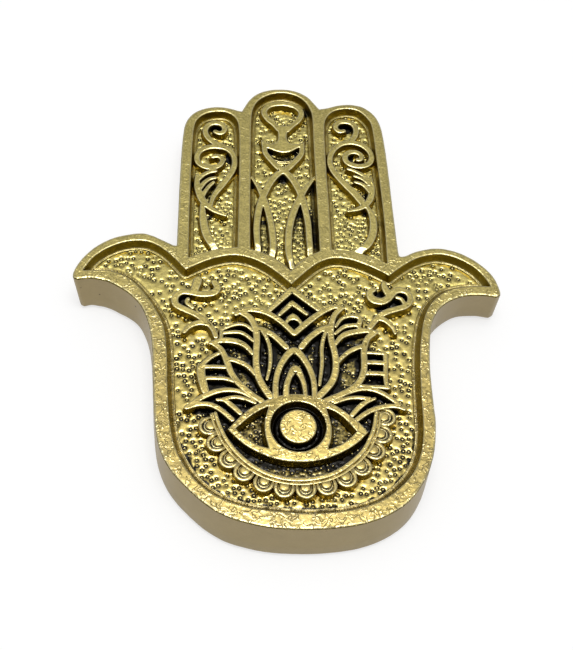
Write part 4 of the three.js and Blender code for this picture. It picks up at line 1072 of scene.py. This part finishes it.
# Thirteen scallops hang from the crescent, each a tongue with a raised lip round a sunken moon and a disc.
# They are cast touching one another, and the black stays in their grooves.
SCALLOP_COUNT = 13
SCALLOP_STAND_OFF = 2.33  # from the crescent's line to the middle of a tongue's round end
SCALLOP_LEG = 1.8  # how far a tongue runs back under the crescent
FIRST_SHARE = 0.044
LAST_SHARE = 0.99
SCALLOP_TOP = GROUND + 2.15
TONGUE = ((0, 0.0, 0), (1.0, 0.0, 0), (1.2, -0.06, 0), (1.27, -0.38, 0.9), (1.44, -0.44, 0.9),
          (1.49, -0.34, 0.3), (1.55, -0.34, 0.3), (1.6, -0.48, 0.9), (1.76, -0.46, 0.9), (1.86, -0.1, 0.2),
          (1.95, -0.02, 0), (2.1, 0.02, 0), (2.4, 0.0, 0), (2.64, -0.1, 0), (2.75, -0.24, 0), (2.8, -0.5, 0),
          (2.9, -1.4, 0), (3.05, -1.95, 0), (3.2, -2.3, 0), (3.2, -2.5, 0))  # radius, level, soot
DISC_BACK = 0.55  # how far the disc lies nearer to the crescent than the lip's middle
TONGUE_STEPS = 20


def tongue(centre, out):
    """One scallop: its section is spun half round and run back straight under the crescent."""
    bm = bmesh.new()
    soot_layer = bm.verts.layers.float.new("ring")
    section = []
    for radius, level, soot in TONGUE:
        vert = bm.verts.new((0, -radius, level))
        vert[soot_layer] = soot
        section.append(vert)
    near = [bm.edges.new(pair) for pair in zip(section, section[1:])]
    spun = bmesh.ops.spin(bm, geom=[*section, *near], cent=(0, 0, 0), axis=(0, 0, 1), angle=math.pi,
                          steps=TONGUE_STEPS)
    far = [part for part in spun["geom_last"] if isinstance(part, bmesh.types.BMEdge)]
    grown = bmesh.ops.extrude_edge_only(bm, edges=[*near, *far])["geom"]
    ends = [part for part in grown if isinstance(part, bmesh.types.BMVert)]
    bmesh.ops.translate(bm, vec=(-SCALLOP_LEG, 0, 0), verts=ends)
    back = [part for part in grown if isinstance(part, bmesh.types.BMEdge)
            and all(abs(vert.co.x + SCALLOP_LEG) < 1e-6 for vert in part.verts)]
    grown = bmesh.ops.extrude_edge_only(bm, edges=back)["geom"]
    for vert in grown:
        if isinstance(vert, bmesh.types.BMVert):
            vert.co.z = TONGUE[-1][1]
    bmesh.ops.remove_doubles(bm, verts=bm.verts, dist=1e-4)
    bmesh.ops.triangle_fill(bm, use_beauty=True, edges=open_edges(bm))
    for vert in bm.verts:
        radius = vert.co.to_2d().length if vert.co.x > 0 else abs(vert.co.y)
        vert.co.x -= DISC_BACK * (1 - ease(1.3, 1.85, radius))
    turn = Matrix(((out.x, -out.y, 0), (out.y, out.x, 0), (0, 0, 1))).to_4x4()
    bmesh.ops.transform(bm, matrix=Matrix.Translation((*centre, SCALLOP_TOP)) @ turn, verts=bm.verts)
    return bm


crescent_line = smooth_line(CRESCENT, BAND_STEP)
shares = share_of_length(crescent_line)
for index in range(SCALLOP_COUNT):
    wanted = FIRST_SHARE + (LAST_SHARE - FIRST_SHARE) * index / (SCALLOP_COUNT - 1)
    nearest = min(range(1, len(shares) - 1), key=lambda place: abs(shares[place] - wanted))
    along = (crescent_line[nearest + 1] - crescent_line[nearest - 1]).normalized()
    outward = Vector((along.y, -along.x))
    middle = crescent_line[nearest] + outward * SCALLOP_STAND_OFF
    laid.extend(middle + outward * 2 + along * side for side in (-1.5, 0, 1.5))
    add_piece(f"tongue_{index + 1:02d}", tongue(middle, outward), relief_gold, "antique_gold",
              f"scallop_{index + 1:02d}")

# The sunken ground of the palm and the three fingers: hammered in low waves and stamped all over with small
# round beads, each in its own ring. It is the floor of the casting, and the stick bore goes down through it.
BEAD_RINGS = (  # radius, height and how much soot it holds; below zero, a wiped top with a painted highlight
    (0.0, 0.15, -1), (0.21, 0.12, -0.7), (0.31, -0.06, 0.95), (0.58, -0.08, 0.95), (0.69, 0.02, 0),
)
BEAD_STEPS = 8
BEAD_CLEAR = 1.1  # from a bead's middle to the foot of a wall
BEAD_OFF_BORE = 2.6
GROUND_DEPTH = 0.3  # how far the ground reaches into the body
WAVE_HEIGHT = 0.11
DIMPLE = 0.09  # how much lower the ground lies at a bead than between beads
EDGE_DIP = 0.14  # how far it dips along the rim's fillet


def hammered(x, y):
    """The height of the hammered waves there, longer across the hand than along it."""
    broad = noise.noise((x / 1.5, y / 0.7, 0))
    fine = noise.noise((x / 0.8, y / 0.5, 7))
    return WAVE_HEIGHT * (broad + 0.35 * fine) * (0.75 + 0.75 * ease(4, 14, y))


def add_ground(name, outline, step, bead_gap, bead_size, kept, seed, bore=()):
    """A field of hammered and beaded ground, closed below.

    The step is the gap of its points, and kept is the share of beads that it has far up and low down.
    """
    chance = random.Random(seed)
    edge = nearest_of(outline)
    top = max(point.y for point in outline)
    low = min(point.y for point in outline)
    points = []
    lifts = []
    rings = []
    slant = []
    for before, after in zip([outline[-1], *outline[:-1]], [*outline[1:], outline[0]]):
        along = (after - before).to_2d().normalized()
        slant.append((PALM_SLANT if bore else FINGER_SLANT) * (1 + SLANT_TURN * along.x))
    loops = [list(range(len(outline)))]
    for point in outline:
        points.append(point.to_2d())
        lifts.append(-EDGE_DIP)
        rings.append(0)
    if bore:
        loops.append(list(range(len(points), len(points) + len(bore))))
        for point in bore:
            points.append(point.to_2d())
            lifts.append(0)
            rings.append(0)
    beads = []
    for place in scattered(outline, bead_gap, 3, chance):
        clear = not bore or off_bore(place) > BEAD_OFF_BORE
        wanted = kept[0] + (kept[1] - kept[0]) * ease(0.45, 0.85, (top - place.y) / (top - low))
        _, nearest, away = edge.find((*place, 0))
        if chance.random() < wanted and clear and away > BEAD_CLEAR + slant[nearest]:
            beads.append(place)
    known = nearest_of(beads)

    def level_at(place):
        """The height of the ground there, with its waves, its dimples and the dip along the wall."""
        _, nearest, away = edge.find((*place, 0))
        clear = ease(0.8, 1.3, away - slant[nearest])
        between = ease(0.5, 1.1, away_from(known, place))
        return (hammered(*place) + DIMPLE * between) * clear - EDGE_DIP * (1 - clear)

    for place in beads:
        size = bead_size * chance.uniform(0.85, 1.15)
        push = chance.uniform(0.75, 1.2)
        gilt_and_glint = chance.random()
        turn = chance.uniform(0, 1)
        level = level_at(place)
        for radius, height, soot in BEAD_RINGS:
            for number in range(BEAD_STEPS if radius else 1):
                angle = math.tau * (number + turn) / BEAD_STEPS
                points.append(place + Vector((math.cos(angle), math.sin(angle))) * radius * size)
                lifts.append(level + height * push * size)
                rings.append(soot if soot > 0 else soot * gilt_and_glint)
    for place in scattered(outline, step, 4.5 / step ** 2, chance):
        clear = not bore or off_bore(place) > BORE_RADIUS + 0.3
        if clear and away_from(edge, place) > 0.4 and away_from(known, place) > 0.85 * bead_size:
            points.append(place)
            lifts.append(level_at(place))
            rings.append(0)
    flat, _, faces, origins, _, owners = delaunay_2d_cdt(points, [], loops, 1, SAME_POINT, True)
    bm = bmesh.new()
    ring_layer = bm.verts.layers.float.new("ring")
    verts = []
    for place, origin in zip(flat, origins):
        vert = bm.verts.new((*place, GROUND + (lifts[origin[0]] if origin else 0)))
        vert[ring_layer] = rings[origin[0]] if origin else 0
        verts.append(vert)
    for face, owner in zip(faces, owners):
        if owner == [0]:
            bm.faces.new([verts[index] for index in face])
    bmesh.ops.delete(bm, geom=[vert for vert in bm.verts if not vert.link_faces], context="VERTS")
    grown = bmesh.ops.extrude_edge_only(bm, edges=open_edges(bm))["geom"]
    for vert in grown:
        if isinstance(vert, bmesh.types.BMVert):
            vert.co.z = SEAM - GROUND_DEPTH
    bmesh.ops.triangle_fill(bm, use_beauty=True, edges=open_edges(bm))
    add_piece(name, bm, ground_gold, "antique_gold")


ground_gold = antique_gold("ground_gold", (0.7, 0.575, 0.1, 1), (0.53, 0.42, 0.026, 1), 0.25, 0.05, 0.5)
bore_mouth = circle(BORE_CENTRE, BORE_RADIUS + 0.02, BORE_STEPS)
add_ground("palm_ground", fields["palm"], 0.45, 1.4, 1.0, (0.72, 0.95), 1, bore_mouth)
for seed, name in enumerate(("left_finger", "middle_finger", "right_finger"), 2):
    add_ground(name + "_ground", fields[name], 0.3, 1.16, 0.8, (0.75, 0.95), seed)

# The black wash: brushed over the gold and wiped off the high places, so it stays in the bead rings and
# between the ornament. Each place is an ellipse, by its middle and half its sizes, and the wash left there.
WASH_ZONES = (  # only where the ornament shuts the ground in
    (1, -22, 25, 13.5, 1.0), (1, -4.5, 7.5, 6, 1.0), (2, -45, 23.5, 14.5, 1.0), (-18.5, -35.5, 10, 4.4, 1.0),
    (21.5, -34.5, 10, 4.4, 1.0), (-23, 36, 3.2, 5.5, 0.56), (22, 38, 3.4, 5, 0.3),
)
WASH_POCKETS = (
    (16, -24, 4, 6, 0.95), (-13, -27, 3, 4.5, 0.95), (1.3, -16.2, 3, 2, 1.0), (-11, -9.6, 1.4, 2, 1.0),
    (-20.4, -26, 5, 6.5, 1.0), (23.4, -24, 3.6, 6, 1.0), (-14, -13.4, 4.6, 3.6, 1.0),
    (16.4, -10.2, 3.6, 3.4, 1.0), (-29, -3.6, 1.9, 2, 1.0), (-24.2, -0.4, 1.4, 1, 0.9),
    (-21.7, 0.7, 0.7, 1, 0.9), (-29, -9.2, 3.6, 0.7, 0.5), (32.6, -0.9, 1.7, 2, 1.0),
    (30.2, -2.5, 2.2, 1.5, 1.0), (26.2, 0.2, 1.6, 2, 1.0), (27.4, -4, 3.2, 1.1, 0.9),
    (-20.3, 57.5, 1.9, 1.2, 1.0), (-16.7, 47, 1.2, 2, 1.0), (-22.2, 25.7, 0.9, 0.9, 0.9),
    (-27.3, 37.3, 0.7, 1, 0.8), (18, 59.4, 2.4, 1.6, 1.0), (19.3, 48.5, 1, 1, 1.0),
    (23.6, 34.6, 1.1, 1.6, 1.0), (22.7, 28.3, 0.8, 0.8, 0.8), (12.5, 46, 0.7, 3, 0.9),
    (26.2, 50.5, 0.7, 1.6, 0.8), (-4.7, 49, 0.9, 1.4, 1.0), (3.4, 49.2, 1, 1.6, 1.0),
    (-0.8, 47.6, 4, 1.1, 0.7), (-1.1, 40.2, 1.4, 1.6, 1.0), (8, 27, 1.4, 12.6, 0.8),
    (3.4, 22, 1.9, 8, 0.62), (3.5, 28.4, 1, 2.2, 1.0), (-6.5, 19, 1.4, 6.6, 0.6),
    (-6.6, 24.8, 1, 0.7, 1.0), (-9.8, 38, 0.8, 1.8, 0.9), (6.5, 65.4, 1.3, 2, 0.8), (2, -66.3, 27, 2, 0.5),
)
WIPED_FLOORS = (  # ground low between high walls that a finger still reached
    (-9.6, -43.2, 4.6, 4.6, 0.8), (13.8, -43, 4.4, 4.6, 0.8), (2, -55.6, 15, 1.6, 0.7),
    (16.4, -25, 2.4, 4, 0.7), (-13, -28, 2, 3, 0.7), (-13, -20, 2, 1, 0.6), (5.6, -24, 1.2, 4, 0.5),
    (-2.6, -23, 1.2, 4, 0.5),
)
THIN_WASH = 0.52  # what stays on those
LOOK_ROUND = 5.5  # how far the wash feels the ornament round it
SECTORS = 12
WASH_CELL = 0.4
covered = nearest_of(laid)


def most(places, x, y):
    """The largest amount of the ellipses there."""
    found = 0
    for middle_x, middle_y, half_x, half_y, amount in places:
        away = math.hypot((x - middle_x) / half_x, (y - middle_y) / half_y)
        found = max(found, amount * (1 - ease(0.8, 1.2, away)))
    return found


@lru_cache(maxsize=None)
def wash_left(cell_x, cell_y):
    """How much wash stays on the ground of a small cell."""
    x = cell_x * WASH_CELL
    y = cell_y * WASH_CELL
    pocket = most(WASH_POCKETS, x, y)
    zone = most(WASH_ZONES, x, y)
    near = 1 - ease(1.3, 2.6, away_from(covered, (x, y)))
    if zone > pocket:
        shut = set()
        for place, _, _ in covered.find_range((x, y, 0), LOOK_ROUND):
            shut.add(int((math.atan2(place.y - y, place.x - x) + math.pi) / math.tau * SECTORS) % SECTORS)
        zone *= ease(0.5, 0.78, len(shut) / SECTORS)
    wear_and_highlight = 0.5 + 0.5 * noise.noise((x / 2.2, y / 2.2, 3))
    return max(pocket, zone) * (1 - (1 - near) * (0.2 + 0.35 * wear_and_highlight))


def ground_marks(x, y, left, held):
    """The wash and the painted light of the ground: black in the beads' rings and in a line along the rim,
    and a painted highlight on the beads' tops.
    """
    brown = 0.8 + 0.3 * noise.noise((x / 4, y / 4, 9)) - 0.12 * ease(-25, 0, y)
    left += (THIN_WASH - left) * most(WIPED_FLOORS, x, y)
    line = 1 - ease(2.5, 3.2, away_from(palm_edge, (x, y)))
    line *= 0.9 * ease(-0.5, 0.25, noise.noise((x / 2.5, y / 2.5, 2))) * ease(-28, -52, y)
    # Painted highlight: the beads' tops, where the soot is below zero, are painted pale.
    return max(left + min(held, 0), held * brown, line), 0.5 - 0.4 * min(held, 0)


def relief_marks(name, place, normal, left, held):
    """The wash and the painted light of the relief: a patchy black line of painted shade at its foot, painted
    shade on its steep walls, the full gold on top and painted highlights of pale gold along its edges.
    """
    x, y, z = place
    # Painted shade: a patchy black line along the foot of the walls, in the crease with the ground.
    patch = ease(-0.4, 0.2, noise.noise((x / 3, y / 3, 5)))
    foot = 0.75 * (1 - ease(0.1, 0.22, z - GROUND)) * patch
    reach = 0.5 if name == "eye_lids" else 2.0
    amount = max(left * (1 - ease(0.3 * reach, reach, z - GROUND)), foot, held * 0.75)
    # Painted highlight on the gently tilted faces of the rounded edges; steep walls get painted shade.
    edge = ease(0.6, 0.85, normal.z) * ease(0.993, 0.96, normal.z)
    return amount, 0.5 * ease(0.3, 0.75, normal.z) + 0.5 * edge


def rim_marks(place, normal, amount, painted_light_level):
    """The same for the rim: its outer edge is dull and darker, its walls that face the fingers get painted
    shade and the lip at the palm's end a painted highlight.
    """
    x, y, z = place
    if away_from(on_edge, (x, y)) < 0.2:
        amount = max(amount, 0.5 * ease(RIM_TOP - 0.05, RIM_TOP - 0.17, z))
        painted_light_level = min(painted_light_level, 0.5)
    elif z > GROUND + 0.3:
        # Painted shade: black on the steep walls that face towards the fingers.
        amount = max(amount, 0.48 * ease(0.1, 0.6, normal.y) * ease(0.85, 0.7, normal.z))
    if z < GROUND + 0.45:
        # Painted highlight: the lip at the foot of the walls is painted pale towards the palm's end.
        lip = ease(0.16, 0.26, z - GROUND) * ease(0.7, 0.9, normal.z)
        painted_light_level = max(painted_light_level, lip * ease(-25, -45, y))
    return amount, painted_light_level


to_drawing = TO_FRAME.inverted()
# Each piece but the slab gets its wash and its painted light: painted shade and painted highlights in the
# gold.
for piece in pieces:
    if piece.name == "cast_slab":
        continue
    mesh = piece.data
    for label in ("wash", "painted_light"):
        mesh.attributes.new(label, "FLOAT", "POINT")
    soot = mesh.attributes.get("ring")
    wash = mesh.attributes["wash"]
    painted_light = mesh.attributes["painted_light"]
    for index, vert in enumerate(mesh.vertices):
        place = to_drawing @ vert.co
        left = wash_left(round(place.x / WASH_CELL), round(place.y / WASH_CELL))
        held = soot.data[index].value if soot else 0
        if piece.name.endswith("ground"):
            amount, painted_light_level = ground_marks(place.x, place.y, left, held)
        else:
            amount, painted_light_level = relief_marks(piece.name, place, vert.normal, left, held)
        if piece.name == "raised_rim":
            amount, painted_light_level = rim_marks(place, vert.normal, amount, painted_light_level)
        wash.data[index].value = max(amount, 0)
        painted_light.data[index].value = painted_light_level

# The felt glued under the casting, cut a little smaller than the hand. Its shape is the CAD's own.
# It is a dark pressed felt: short matted fibres with a faint fleck.
felt_cloth, tree = new_material("felt_cloth")
place = add_node(tree, "TexCoord").outputs["Object"]
fibres = noise_at(tree, place, 1900, 6, Roughness=0.7)
fleck = mixed_colour(tree, fibres, (0.012, 0.011, 0.01, 1), (0.05, 0.045, 0.042, 1))
matted = add_node(tree, "Bump", {"Height": fibres, "Strength": 0.8, "Distance": 0.0003})
skin = add_node(tree, "BsdfPrincipled", {"Base Color": fleck, "Roughness": 0.95, "Sheen Weight": 0.3,
                                         "Normal": matted.outputs[0]})
add_node(tree, "OutputMaterial", {"Surface": skin.outputs[0]})
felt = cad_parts["felt_backing"]
felt.data.materials.clear()
felt.data.materials.append(felt_cloth)
